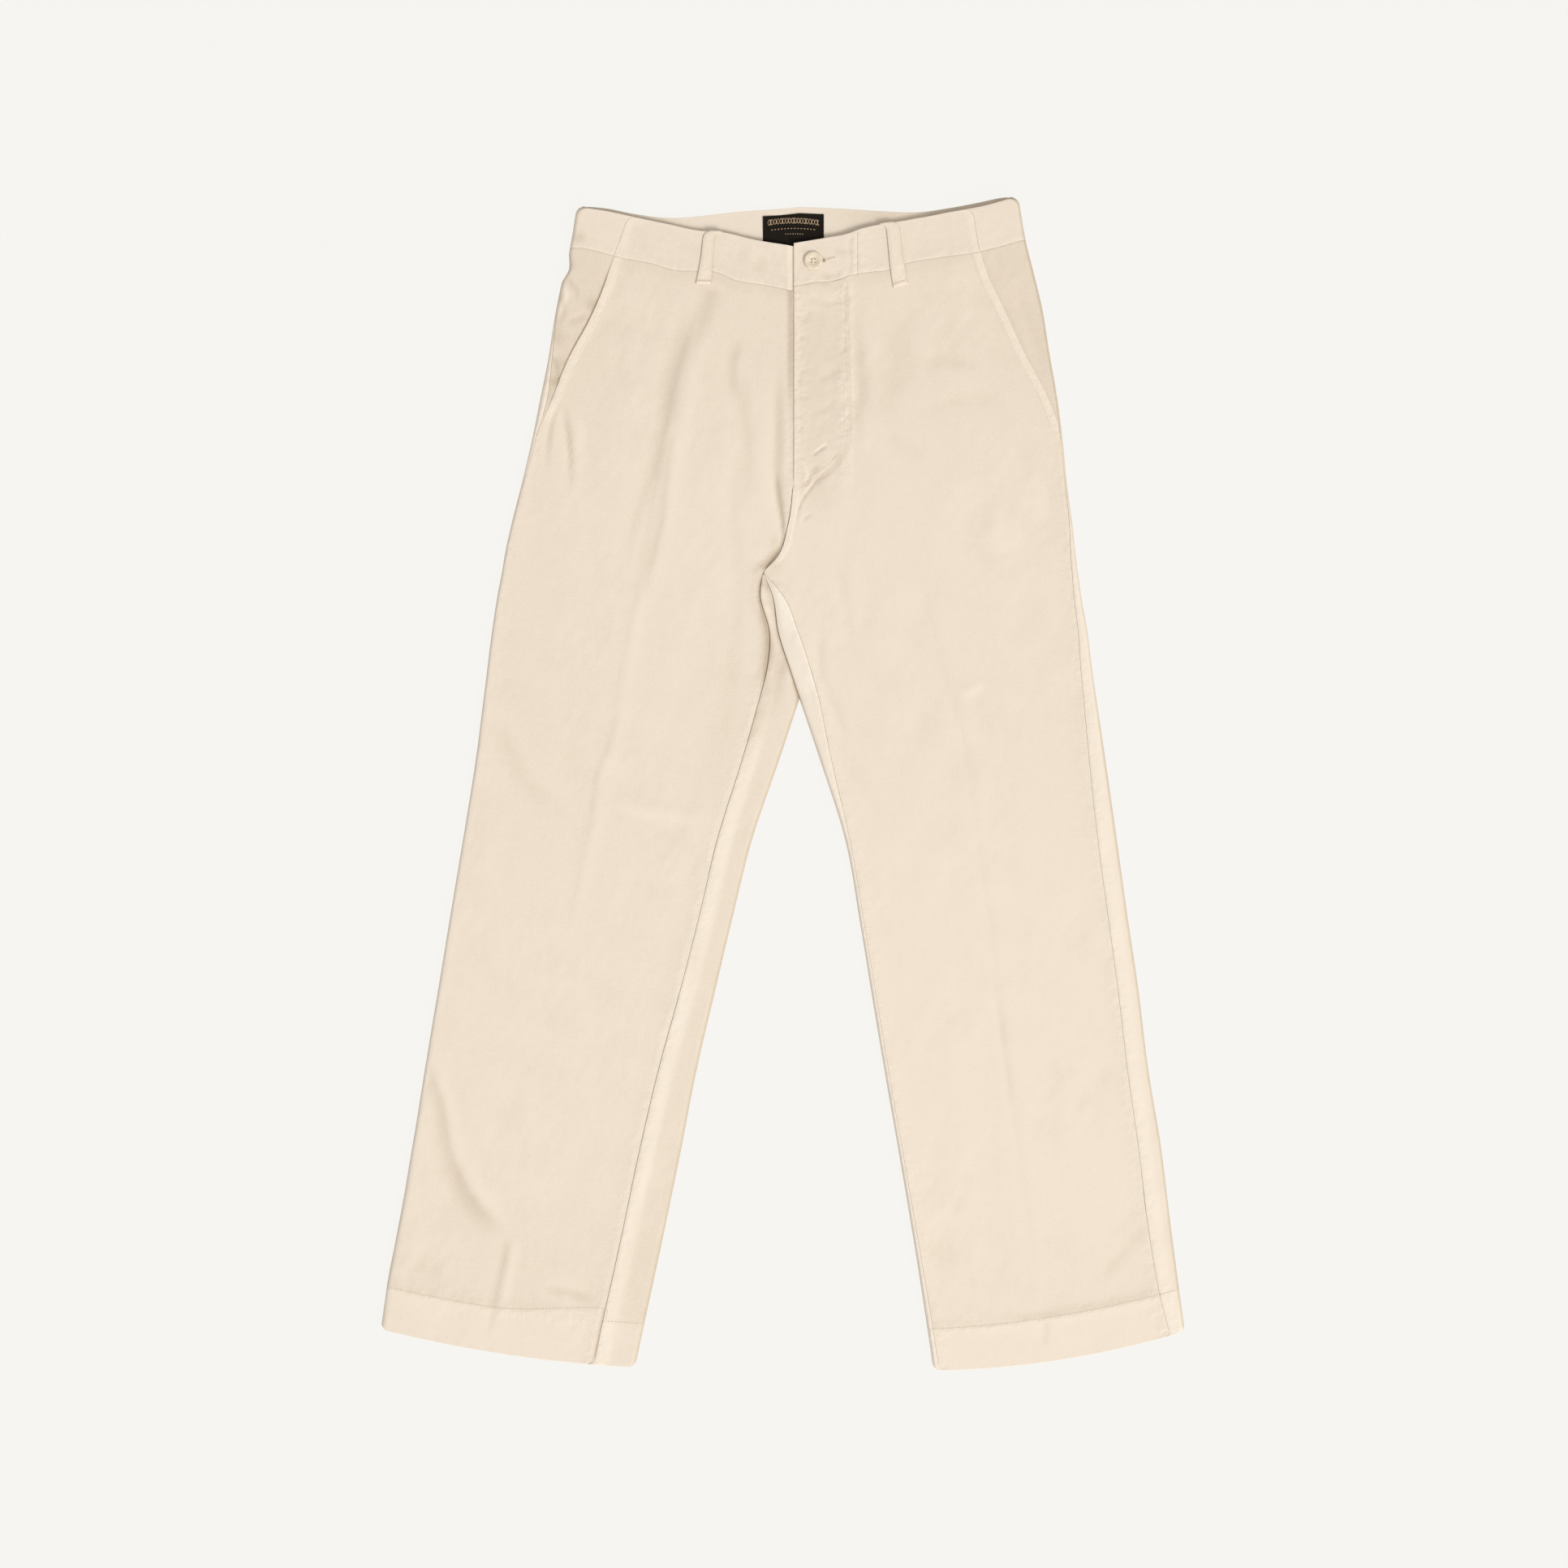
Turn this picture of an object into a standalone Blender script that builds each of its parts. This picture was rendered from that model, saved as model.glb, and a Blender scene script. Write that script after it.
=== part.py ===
"""Twill trousers laid flat, face up, with the waist towards +Y.

Each cut piece is a closed wall of cloth.  The legs are flattened tubes: a section
runs across a leg from its outer fold to its inner fold, over the top and back
underneath, and every piece takes its points from those sections.
Lengths in this file are millimetres and are turned to metres at the end.
The wearer's right leg lies at -X and the left leg at +X.
"""
import math
from collections import namedtuple

import bmesh
import bpy
from mathutils import Vector

MM = 0.001

# Cloth
CLOTH = 1.2             # wall of one layer
HEM_WALL = 1.7          # wall where the hem is turned up
BAND_WALL = 2.0         # waistband, two layers
BAND_PROUD = 0.6        # how far the band stands out of the panels
LABEL_WALL = 1.0
LOOP_WALL = 1.4
GAP = 0.3               # between two pieces at a seam or where one lies on another
EDGE = 4.0              # radius of the folded edges, half the height of a leg
TURN = EDGE * (1.0 - math.sqrt(0.5))   # distance from a fold's edge to halfway round it

# Fly, pockets, loops
UNDERLAP = 20.0         # right front under the left front along the fly
BAND_UNDERLAP = 34.0    # right end of the waistband under the buttoned tab
TAB = 60.0              # length of the buttoned end of the waistband
FLY_BEND = 4.0          # width over which the right front dips under the left
FLY_DROP = CLOTH + 1.0  # how far it dips, and the same for the waistband's right end
BAND_DROP = BAND_WALL + 1.0
FACING_UNDERLAP = 15.0  # pocket facing under the front
LOOP_WIDTH = 11.0
LOOP_ARCH = 0.8         # how far the front loops stand off the band
SEAT_X = 14.3           # the seat seam runs straight down the back
MIDDLE_X = -1.0         # middle of the whole outline in the tables below

# Hem
HEM_SECTION = 22        # the hem is turned up between this section and the last

Section = namedtuple("Section", (
    "outer_x outer_y inner_x inner_y bow "     # top line, and how far its middle bows in Y
    "seat_y seat_bow "                         # the same for the back, at the seat seam
    "front_edge back_edge "                    # where front and back end, from the outer fold
    "inseam "                                  # inseam, from the inner fold
    "crease ridge lift closed"))               # front crease, height off the floor, leg closed

# Distances from a fold are positive on the top layer and negative underneath.
# "closed" goes from 0, one tube round the hips, to 1, two tubes for the legs.
RIGHT_SECTIONS = [Section(*row) for row in (
    # outer_x outer_y inner_x inner_y bow  seat_y  bow  front  back inseam crease ridge lift closed
    (-191.3,  531.0,    8.4,  498.5,  0.0,  533.0, -8.0, 47.8, 47.8,  0.0, 0.62, 0.0, 2.5, 0.0),
    (-197.6,  494.0,    8.7,  457.0,  0.0,  495.0, -8.0, 41.2, -1.0,  0.0, 0.62, 0.0, 2.5, 0.0),
    (-204.2,  468.0,    8.7,  436.0,  0.0,  464.0, -6.0, 37.5, -0.3,  0.0, 0.62, 0.0, 1.4, 0.0),
    (-211.5,  433.0,    8.7,  405.0,  0.0,  427.0, -4.0, 29.0,  0.5,  0.0, 0.60, 1.0, 0.3, 0.0),
    (-217.5,  395.0,    8.7,  372.0,  0.0,  388.0, -2.0, 15.7,  3.5,  0.0, 0.57, 1.0, 0.0, 0.0),
    (-225.7,  354.0,    8.7,  338.0,  0.0,  351.0,  0.0,  9.1,  6.5,  0.0, 0.54, 1.0, 0.0, 0.0),
    (-232.9,  318.0,    8.7,  308.0,  0.0,  317.0,  0.0,  3.0,  3.0,  0.0, 0.52, 1.0, 0.0, 0.0),
    (-242.8,  276.0,    8.0,  276.0,  0.0,  280.0,  0.0,  1.2,  1.2,  0.0, 0.51, 1.0, 0.0, 0.0),
    (-251.9,  240.0,    3.5,  240.0,  0.0,  242.0,  0.0,  0.4,  0.4,  0.0, 0.50, 1.0, 0.0, 0.0),
    (-258.2,  211.0,   -6.5,  210.0,  0.0,  211.0,  0.0,  0.1,  0.1,  0.0, 0.50, 1.0, 0.0, 0.0),
    (-260.6,  196.0,  -19.5,  196.0,  0.0,  196.0,  0.0,  0.0,  0.0,  0.0, 0.50, 1.0, 0.0, 0.0),
    (-264.5,  176.0,  -11.0,  176.0,  0.0,  176.0,  0.0,  0.0,  0.0, 10.9, 0.48, 1.0, 0.0, 0.1),
    (-270.0,  140.0,   -5.0,  140.0,  0.0,  140.0,  0.0,  0.0,  0.0,  8.2, 0.46, 1.0, 0.0, 0.3),
    (-274.4,  105.0,    6.0,  105.0,  0.0,  105.0,  0.0, -0.1, -0.1, 21.8, 0.44, 1.0, 0.0, 0.6),
    (-277.5,   80.0,   14.3,   79.0,  0.0,   79.0,  0.0, -0.2, -0.2, 36.8, 0.43, 1.0, 0.0, 1.0),
    (-283.8,   30.0,   -3.6,   25.0,  0.0,   25.0,  0.0, -0.4, -0.4, 34.1, 0.42, 1.0, 0.0, 1.0),
    (-294.8,  -40.0,  -29.2,  -50.0,  0.0,  -50.0,  0.0, -0.8, -0.8, 31.8, 0.43, 1.0, 0.0, 1.0),
    (-306.5, -110.0,  -47.3, -122.0,  0.0, -122.0,  0.0, -1.3, -1.3, 30.8, 0.43, 1.0, 0.0, 1.0),
    (-318.0, -180.0,  -64.4, -194.0,  0.0, -194.0,  0.0, -2.2, -2.2, 32.0, 0.42, 1.0, 0.0, 1.0),
    (-329.7, -250.0,  -81.6, -268.0, -1.0, -268.0, -1.0, -3.6, -3.6, 35.0, 0.42, 1.0, 0.0, 1.0),
    (-341.0, -320.0,  -96.0, -342.0, -2.0, -342.0, -2.0, -6.5, -6.5, 37.9, 0.43, 0.8, 0.0, 1.0),
    (-354.8, -400.0, -113.0, -424.0, -3.5, -424.0, -3.5, -9.0, -9.0, 38.2, 0.45, 0.8, 0.0, 1.0),
    (-367.0, -464.0, -129.0, -498.0, -5.0, -498.0, -5.0, -12.0, -12.0, 38.6, 0.47, 0.8, 0.0, 1.0),
    (-372.5, -504.0, -137.5, -538.0, -5.5, -538.0, -5.5, -14.0, -14.0, 38.5, 0.48, 0.5, 0.0, 1.0),
)]
LEFT_SECTIONS = [Section(*row) for row in (
    (216.5,  541.0,    9.0,  500.5,  0.0,  533.0, -8.0, 43.2, 43.2,  0.0, 0.60, 0.0, 2.5, 0.0),
    (223.0,  502.0,    9.0,  458.5,  0.0,  495.0, -8.0, 43.0, -2.0,  0.0, 0.60, 0.0, 2.5, 0.0),
    (230.2,  474.0,    9.0,  436.5,  0.0,  464.0, -6.0, 40.5, -2.0,  0.0, 0.60, 0.0, 1.4, 0.0),
    (238.5,  440.0,    9.0,  405.5,  0.0,  427.0, -4.0, 32.7, -1.0,  0.0, 0.60, 0.8, 0.3, 0.0),
    (245.0,  400.0,    9.0,  372.5,  0.0,  388.0, -2.0, 21.6,  0.5,  0.0, 0.60, 1.0, 0.0, 0.0),
    (252.4,  358.0,    9.0,  338.5,  0.0,  351.0,  0.0,  8.7,  1.0,  0.0, 0.60, 1.0, 0.0, 0.0),
    (257.3,  320.0,    9.0,  308.0,  0.0,  317.0,  0.0,  1.5,  1.5,  0.0, 0.60, 1.0, 0.0, 0.0),
    (261.4,  278.0,    8.3,  276.0,  0.0,  280.0,  0.0,  1.5,  1.5,  0.0, 0.60, 1.0, 0.0, 0.0),
    (266.5,  240.0,    3.8,  240.0,  0.0,  242.0,  0.0,  3.0,  3.0,  0.0, 0.58, 1.0, 0.0, 0.0),
    (269.6,  211.0,   -6.2,  210.0,  0.0,  211.0,  0.0,  5.0,  5.0,  0.0, 0.55, 1.0, 0.0, 0.0),
    (271.5,  196.0,  -19.5,  196.0,  0.0,  196.0,  0.0,  5.7,  5.7,  0.0, 0.53, 1.0, 0.0, 0.0),
    (274.3,  176.0,  -11.0,  176.0,  0.0,  176.0,  0.0,  7.0,  7.0, 11.8, 0.51, 1.0, 0.0, 0.1),
    (280.5,  140.0,   -5.0,  140.0,  0.0,  140.0,  0.0,  9.0,  9.0, 20.4, 0.50, 1.0, 0.0, 0.3),
    (284.8,  105.0,    6.0,  105.0,  0.0,  105.0,  0.0, 10.8, 10.8, 18.9, 0.49, 1.0, 0.0, 0.6),
    (288.5,   80.0,   14.3,   79.0,  0.0,   79.0,  0.0, 12.2, 12.2, 18.1, 0.48, 1.0, 0.0, 1.0),
    (296.2,   28.0,   33.5,   22.0,  0.0,   22.0,  0.0, 15.0, 15.0, 10.3, 0.48, 1.0, 0.0, 1.0),
    (306.7,  -45.0,   57.0,  -53.0,  0.0,  -53.0,  0.0, 17.8, 17.8,  4.0, 0.49, 1.0, 0.0, 1.0),
    (316.7, -117.0,   70.1, -127.0,  0.0, -127.0,  0.0, 18.3, 18.3,  3.5, 0.51, 1.0, 0.0, 1.0),
    (327.5, -190.0,   82.2, -201.0,  0.0, -201.0,  0.0, 19.1, 19.1,  3.5, 0.52, 1.0, 0.0, 1.0),
    (336.4, -262.0,   94.7, -275.0, -1.5, -275.0, -1.5, 19.5, 19.5,  3.5, 0.53, 1.0, 0.0, 1.0),
    (348.3, -335.0,  107.6, -349.0, -3.0, -349.0, -3.0, 21.0, 21.0,  3.5, 0.54, 0.8, 0.0, 1.0),
    (357.0, -405.0,  121.2, -430.0, -5.0, -430.0, -5.0, 21.0, 21.0,  4.0, 0.54, 0.8, 0.0, 1.0),
    (365.0, -466.0,  132.5, -503.0, -7.0, -503.0, -7.0, 18.5, 18.5,  5.0, 0.54, 0.8, 0.0, 1.0),
    (370.5, -506.0,  138.0, -541.0, -8.0, -541.0, -8.0, 14.0, 14.0,  5.0, 0.54, 0.5, 0.0, 1.0),
)]
WAIST_TOP = 0
WAIST_SEAM = 1
POCKET_FOOT = 5.25      # the pocket mouth ends here, and the front meets the outseam
FLY_END = 7
CROTCH = 10
LEG_TOP = 14            # the legs part here
LAST = len(RIGHT_SECTIONS) - 1

Colour = namedtuple("Colour", "red green blue roughness")
TWILL = Colour(0.86, 0.74, 0.60, 0.9)
LABEL_CLOTH = Colour(0.02, 0.018, 0.015, 0.8)
BUTTON_RESIN = Colour(0.74, 0.65, 0.48, 0.45)

# Belt loops: which leg's sections they follow, the face they lie on, their middle's
# distance from the outer fold at the top and at the foot, and the section they end at.
Loop = namedtuple("Loop", "name leg under top foot end")
LOOPS = [
    Loop("belt_loop_front_right", "right", False, 124.3, 129.0, 1.50),
    Loop("belt_loop_front_left", "left", False, 118.5, 122.5, 1.75),
    Loop("belt_loop_back_right", "right", True, 88.0, 94.0, 1.45),
    Loop("belt_loop_back_left", "left", True, 86.0, 92.0, 1.45),
    Loop("belt_loop_centre_back", "right", True, 205.6, 211.9, 1.45),
]

# Button: radii and heights of its turned outline, from the middle of its back
BUTTON_X, BUTTON_Y = 27.0, 483.0
BUTTON_RADIUS = 8.5
BUTTON_HEIGHT = 2.8
BUTTON_WELL = 4.0       # radius of the sunk middle
BUTTON_WELL_DEPTH = 0.9
BUTTON_HOLE = 0.8
BUTTON_HOLE_OFFSET = 1.6


def mix(a, b, share):
    return a + (b - a) * share


def along_cloth(distance, step):
    """Move a place, given by its distance from a fold, along the cloth round that fold."""
    quarter = EDGE * math.pi / 2
    size = abs(distance)
    arc = EDGE * math.acos(1.0 - size / EDGE) if size < EDGE else size - EDGE + quarter
    arc = math.copysign(arc, distance) + step
    size = abs(arc)
    size = EDGE * (1.0 - math.cos(size / EDGE)) if size < quarter else size - quarter + EDGE
    return math.copysign(size, arc)


class Leg:
    """One side of the trousers: its sections, and the points on its two layers."""

    def __init__(self, sections):
        self.sections = sections

    def section(self, row):
        """The section at a row, which may lie between two rows of the table."""
        low = min(max(int(math.floor(row)), 0), len(self.sections) - 2)
        share = row - low
        pairs = zip(self.sections[low], self.sections[low + 1])
        return Section(*(mix(a, b, share) for a, b in pairs))

    def inner_end(self, section, under):
        """Inner end of a section's line; underneath it is the seat seam, then the fold."""
        if not under:
            return section.inner_x, section.inner_y
        return (SEAT_X if section.closed < 1.0 else section.inner_x), section.seat_y

    def width(self, section, under=False):
        """Length of a section's straight line, on top or underneath."""
        inner_x, inner_y = self.inner_end(section, under)
        return math.hypot(inner_x - section.outer_x, inner_y - section.outer_y)

    def point(self, row, along, under, depth=0.0, lower=0.0):
        """Place at a distance from the outer fold, "depth" into the cloth."""
        section = self.section(row)
        inner_x, inner_y = self.inner_end(section, under)
        bow = section.seat_bow if under else section.bow
        width = self.width(section, under)
        across = Vector((inner_x - section.outer_x, inner_y - section.outer_y)) / width

        # Height and outward direction from the rounded folds
        sign = -1.0 if under else 1.0
        outward, rise = 0.0, EDGE
        reach = EDGE - min(max(along, 0.0), EDGE)
        if reach > 0.0:
            outward = -reach
            rise = math.sqrt(EDGE * EDGE - reach * reach)
        reach = EDGE - min(max(width - along, 0.0), EDGE)
        if reach > 0.0:
            outward += reach * section.closed
            round_rise = math.sqrt(EDGE * EDGE - reach * reach)
            rise = mix(rise, round_rise, section.closed)
        normal = Vector((outward, sign * rise))
        normal.normalize()

        share = along / width
        flat = Vector((section.outer_x, section.outer_y)) + across * along
        flat.y += bow * 4.0 * share * (1.0 - share)
        flat -= across * normal.x * depth
        height = EDGE + sign * rise - normal.y * depth + section.lift - lower
        return Vector((flat.x, flat.y, height))


LEGS = {"right": Leg(RIGHT_SECTIONS), "left": Leg(LEFT_SECTIONS)}


def spread(start, naturals, end, step=1.2):
    """Column places from start to end, kept in order and at least a step apart."""
    count = len(naturals)
    places = [start]
    for index, natural in enumerate(naturals):
        lowest = places[-1] + step
        highest = end - step * (count - index)
        places.append(min(max(natural, lowest), highest))
    places.append(end)
    return places


def make_material(name, colour):
    material = bpy.data.materials.new(name)
    material.use_nodes = True
    shader = material.node_tree.nodes["Principled BSDF"]
    shader.inputs["Base Color"].default_value = (colour.red, colour.green, colour.blue, 1.0)
    shader.inputs["Roughness"].default_value = colour.roughness
    shader.inputs["Metallic"].default_value = 0.0
    return material


def finish(name, bm, material):
    """Turn a bmesh in millimetres into a named object in metres, about the middle."""
    bmesh.ops.translate(bm, vec=(-MIDDLE_X, 0.0, 0.0), verts=bm.verts)
    bmesh.ops.scale(bm, vec=(MM, MM, MM), verts=bm.verts)
    mesh = bpy.data.meshes.new(name)
    bm.to_mesh(mesh)
    bm.free()
    mesh.materials.append(material)
    mesh.shade_smooth()
    mesh.set_sharp_from_angle(angle=math.radians(40))
    piece = bpy.data.objects.new(name, mesh)
    bpy.context.scene.collection.objects.link(piece)
    return piece


def wall(name, grids, material):
    """A closed wall of cloth from grids of (key, outer point, inner point).

    Points with the same key are one vertex, so grids that share keys are sewn
    into one piece.  The rim is closed wherever a face has no neighbour.
    """
    bm = bmesh.new()
    skins = ({}, {})
    outer_faces = []
    for grid in grids:
        for line in grid:
            for key, outer, inner in line:
                if key not in skins[0]:
                    skins[0][key] = bm.verts.new(outer)
                    skins[1][key] = bm.verts.new(inner)
        for line, following in zip(grid, grid[1:]):
            for column in range(len(line) - 1):
                keys = (line[column][0], following[column][0],
                        following[column + 1][0], line[column + 1][0])
                outer_faces.append(keys)
                bm.faces.new([skins[0][key] for key in keys])
                bm.faces.new([skins[1][key] for key in reversed(keys)])
    edges = {}
    for keys in outer_faces:
        for a, b in zip(keys, keys[1:] + keys[:1]):
            edges[(a, b)] = True
    for a, b in edges:
        if (b, a) not in edges:
            bm.faces.new([skins[0][b], skins[0][a], skins[1][a], skins[1][b]])
    bmesh.ops.triangulate(bm, faces=bm.faces[:])
    bmesh.ops.recalc_face_normals(bm, faces=bm.faces[:])
    return finish(name, bm, material)


def rows_down(first, last=LAST):
    """Rows of a panel, with a close pair where the hem's turn-up begins."""
    rows = [first + 0.006]
    for row in range(int(first) + 1, last + 1):
        if row == HEM_SECTION:
            rows.append(row - 0.02)
        rows.append(row)
    return rows


def wall_at(row):
    return HEM_WALL if row >= HEM_SECTION else CLOTH


def front_panel(side):
    """Front: from pocket and outseam to the centre front, and on to the inseam."""
    leg = LEGS[side]
    fly_side = side == "right"
    grid = []
    extension = []
    rows = rows_down(WAIST_SEAM)
    rows[rows.index(6):rows.index(6)] = [POCKET_FOOT, POCKET_FOOT + 0.015]
    for row in rows:
        section = leg.section(row)
        width = leg.width(section)
        end = width - section.inseam - GAP / 2
        crease = section.crease * width
        edge = section.front_edge if row <= POCKET_FOOT else section.back_edge
        start = along_cloth(edge, GAP / 2)
        dips = fly_side and row <= FLY_END
        if dips:
            end = width - 0.5
        shoulder = end - FLY_BEND
        naturals = [-TURN, 0.0, TURN, EDGE, mix(EDGE, crease, 0.5), crease,
                    mix(crease, shoulder, 0.5), shoulder]
        places = spread(start, naturals, end)
        line = []
        for column, along in enumerate(places):
            lower = -section.ridge if column == 6 else 0.0
            if dips and column == len(places) - 1:
                lower = FLY_DROP
            points = [leg.point(row, abs(along), along < 0.0, depth, lower)
                      for depth in (0.0, wall_at(row))]
            line.append(((row, column), *points))
        grid.append(line)
        if dips:
            lap = [leg.point(row, width + UNDERLAP, False, depth, FLY_DROP)
                   for depth in (0.0, CLOTH)]
            extension.append([line[-1], ((row, "lap"), *lap)])
    grids = [grid] + ([extension] if extension else [])
    return wall("front_" + side, grids, TWILL_MATERIAL)


def back_panel(side):
    """Back: from the inseam on top, round the inner fold, and under to the outseam.

    Above the place where the legs part it is slit along the seat seam.
    """
    leg = LEGS[side]
    top_part, under_part = [], []
    rows = rows_down(WAIST_SEAM)
    rows.insert(rows.index(CROTCH) + 1, CROTCH + 0.12)
    for row in rows:
        section = leg.section(row)
        thickness = wall_at(row)
        slit = row < LEG_TOP
        # Top strip, from the inseam to the inner fold
        if row > CROTCH:
            width = leg.width(section)
            edge = GAP / 2 if slit else 0.0
            strip = section.inseam - GAP / 2
            away = spread(-strip, [-0.5 * strip, -EDGE, -TURN], -edge, min(0.35, 0.2 * strip))
            line = []
            for column, distance in enumerate(away):
                points = [leg.point(row, width + distance, False, depth)
                          for depth in (0.0, thickness)]
                last = column == len(away) - 1
                key = (row, "fold") if last and not slit else (row, "top", column)
                line.append((key, *points))
            top_part.append(line)
        # Underneath, from the inner fold to the outseam
        width = leg.width(section, under=True)
        edge = GAP / 2 if slit else 0.0
        naturals = [TURN, EDGE, 0.25 * width, 0.5 * width, 0.75 * width,
                    width - EDGE, width - TURN, width, width + TURN, width + EDGE]
        away = spread(edge, naturals, width + along_cloth(section.back_edge, -GAP / 2), 0.6)
        line = []
        for column, distance in enumerate(away):
            along = width - distance
            points = [leg.point(row, abs(along), along > 0.0, depth)
                      for depth in (0.0, thickness)]
            key = (row, "fold") if column == 0 and not slit else (row, "under", column)
            line.append((key, *points))
        under_part.append(line)
    return wall("back_" + side, [top_part, under_part], TWILL_MATERIAL)


def pocket_facing(side):
    """Cloth that shows beyond the slanted pocket edge and runs on under the front."""
    leg = LEGS[side]
    grid = []
    for row in (WAIST_SEAM + 0.006, 2, 3, 4, 5, POCKET_FOOT):
        section = leg.section(row)
        start = along_cloth(section.back_edge, GAP / 2)
        mouth = section.front_edge
        slope, flat = mouth - 6.0, mouth - 1.0
        naturals = [-TURN, 0.0, TURN, EDGE, mix(EDGE, slope, 0.5), slope, flat]
        places = spread(start, naturals, mouth + FACING_UNDERLAP, 0.6)
        line = []
        for column, along in enumerate(places):
            lower = (CLOTH + GAP) * min(max((along - slope) / (flat - slope), 0.0), 1.0)
            points = [leg.point(row, abs(along), along < 0.0, depth, lower)
                      for depth in (0.0, CLOTH)]
            line.append(((row, column), *points))
        grid.append(line)
    return wall("pocket_facing_" + side, [grid], TWILL_MATERIAL)


def band_line(leg, row, places, name, lower=None):
    """One row of waistband points; places are (along, under), from the outer fold."""
    line = []
    for column, (along, under) in enumerate(places):
        drop = lower[column] if lower else 0.0
        points = [leg.point(row, along, under, depth, drop)
                  for depth in (-BAND_PROUD, BAND_WALL - BAND_PROUD)]
        line.append(((name, row, column), *points))
    return line


BAND_ROWS = (WAIST_TOP, 0.5, WAIST_SEAM - 0.004)


def waistband_front_right():
    """Right front waistband, which runs on under the buttoned tab."""
    leg = LEGS["right"]
    grid = []
    for row in BAND_ROWS:
        section = leg.section(row)
        width = leg.width(section)
        start = section.front_edge + GAP / 2
        shoulder = width - 6.0
        places = [start] + [mix(start, shoulder, share) for share in (0.33, 0.67)]
        places += [shoulder, width - 0.5, width + BAND_UNDERLAP]
        lower = [0.0, 0.0, 0.0, 0.0, BAND_DROP, BAND_DROP]
        grid.append(band_line(leg, row, [(place, False) for place in places], "band", lower))
    return wall("waistband_front_right", [grid], TWILL_MATERIAL)


def waistband_front_left():
    leg = LEGS["left"]
    grid = []
    for row in BAND_ROWS:
        section = leg.section(row)
        start = section.front_edge + GAP / 2
        end = leg.width(section) - TAB - GAP / 2
        places = [(mix(start, end, share), False) for share in (0.0, 0.33, 0.67, 1.0)]
        grid.append(band_line(leg, row, places, "band"))
    return wall("waistband_front_left", [grid], TWILL_MATERIAL)


def waistband_tab():
    """Buttoned end of the waistband, over the right end."""
    leg = LEGS["left"]
    grid = []
    for row in BAND_ROWS:
        width = leg.width(leg.section(row))
        places = [(width - TAB + GAP / 2, False), (width - TAB / 2, False), (width - GAP / 2, False)]
        grid.append(band_line(leg, row, places, "band"))
    return wall("waistband_tab", [grid], TWILL_MATERIAL)


def waistband_back():
    """Back waistband, round both sides to the seams above the pockets."""
    grids = []
    for side in ("right", "left"):
        leg = LEGS[side]
        grid = []
        for row in BAND_ROWS:
            section = leg.section(row)
            width = leg.width(section, under=True)
            seam = section.front_edge - GAP / 2
            places = [(seam, False), (EDGE, False), (TURN, False), (0.0, True),
                      (TURN, True), (EDGE, True)]
            places += [(width * share, True) for share in (0.25, 0.5, 0.75)]
            line = band_line(leg, row, places, side)
            seat = [leg.point(row, width, True, depth)
                    for depth in (-BAND_PROUD, BAND_WALL - BAND_PROUD)]
            line.append((("seat", row), *seat))
            grid.append(line if side == "right" else line[::-1])
        grids.append(grid)
    return wall("waistband_back", grids, TWILL_MATERIAL)


def waist_label():
    """Plain woven label on the inside of the back waistband."""
    base = BAND_WALL - BAND_PROUD + GAP
    grid = []
    for row in (0.14, 0.55, 0.96):
        line = []
        for side, away in (("right", 33.8), ("right", 0.0), ("left", 22.5)):
            leg = LEGS[side]
            width = leg.width(leg.section(row), under=True)
            points = [leg.point(row, width - away, True, depth)
                      for depth in (base, base + LABEL_WALL)]
            line.append(((row, side, away), *points))
        grid.append(line)
    return wall("label", [grid], LABEL_MATERIAL)


def belt_loop(loop):
    """A strip sewn down above and below the waistband, standing off it a little."""
    leg = LEGS[loop.leg]
    arch = 0.0 if loop.under else LOOP_ARCH
    grid = []
    for share in (0.0, 0.15, 0.35, 0.55, 0.75, 0.9, 1.0):
        row = mix(0.0, loop.end, share)
        middle = mix(loop.top, loop.foot, share)
        proud = BAND_PROUD if row < WAIST_SEAM + 0.15 else 0.0
        stand = proud + GAP + arch * math.sin(math.pi * share)
        line = []
        for column, offset in enumerate((-LOOP_WIDTH / 2, 0.0, LOOP_WIDTH / 2)):
            points = [leg.point(row, middle + offset, loop.under, -depth)
                      for depth in (stand + LOOP_WALL, stand)]
            line.append(((share, column), *points))
        grid.append(line)
    return wall(loop.name, [grid], TWILL_MATERIAL)


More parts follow.
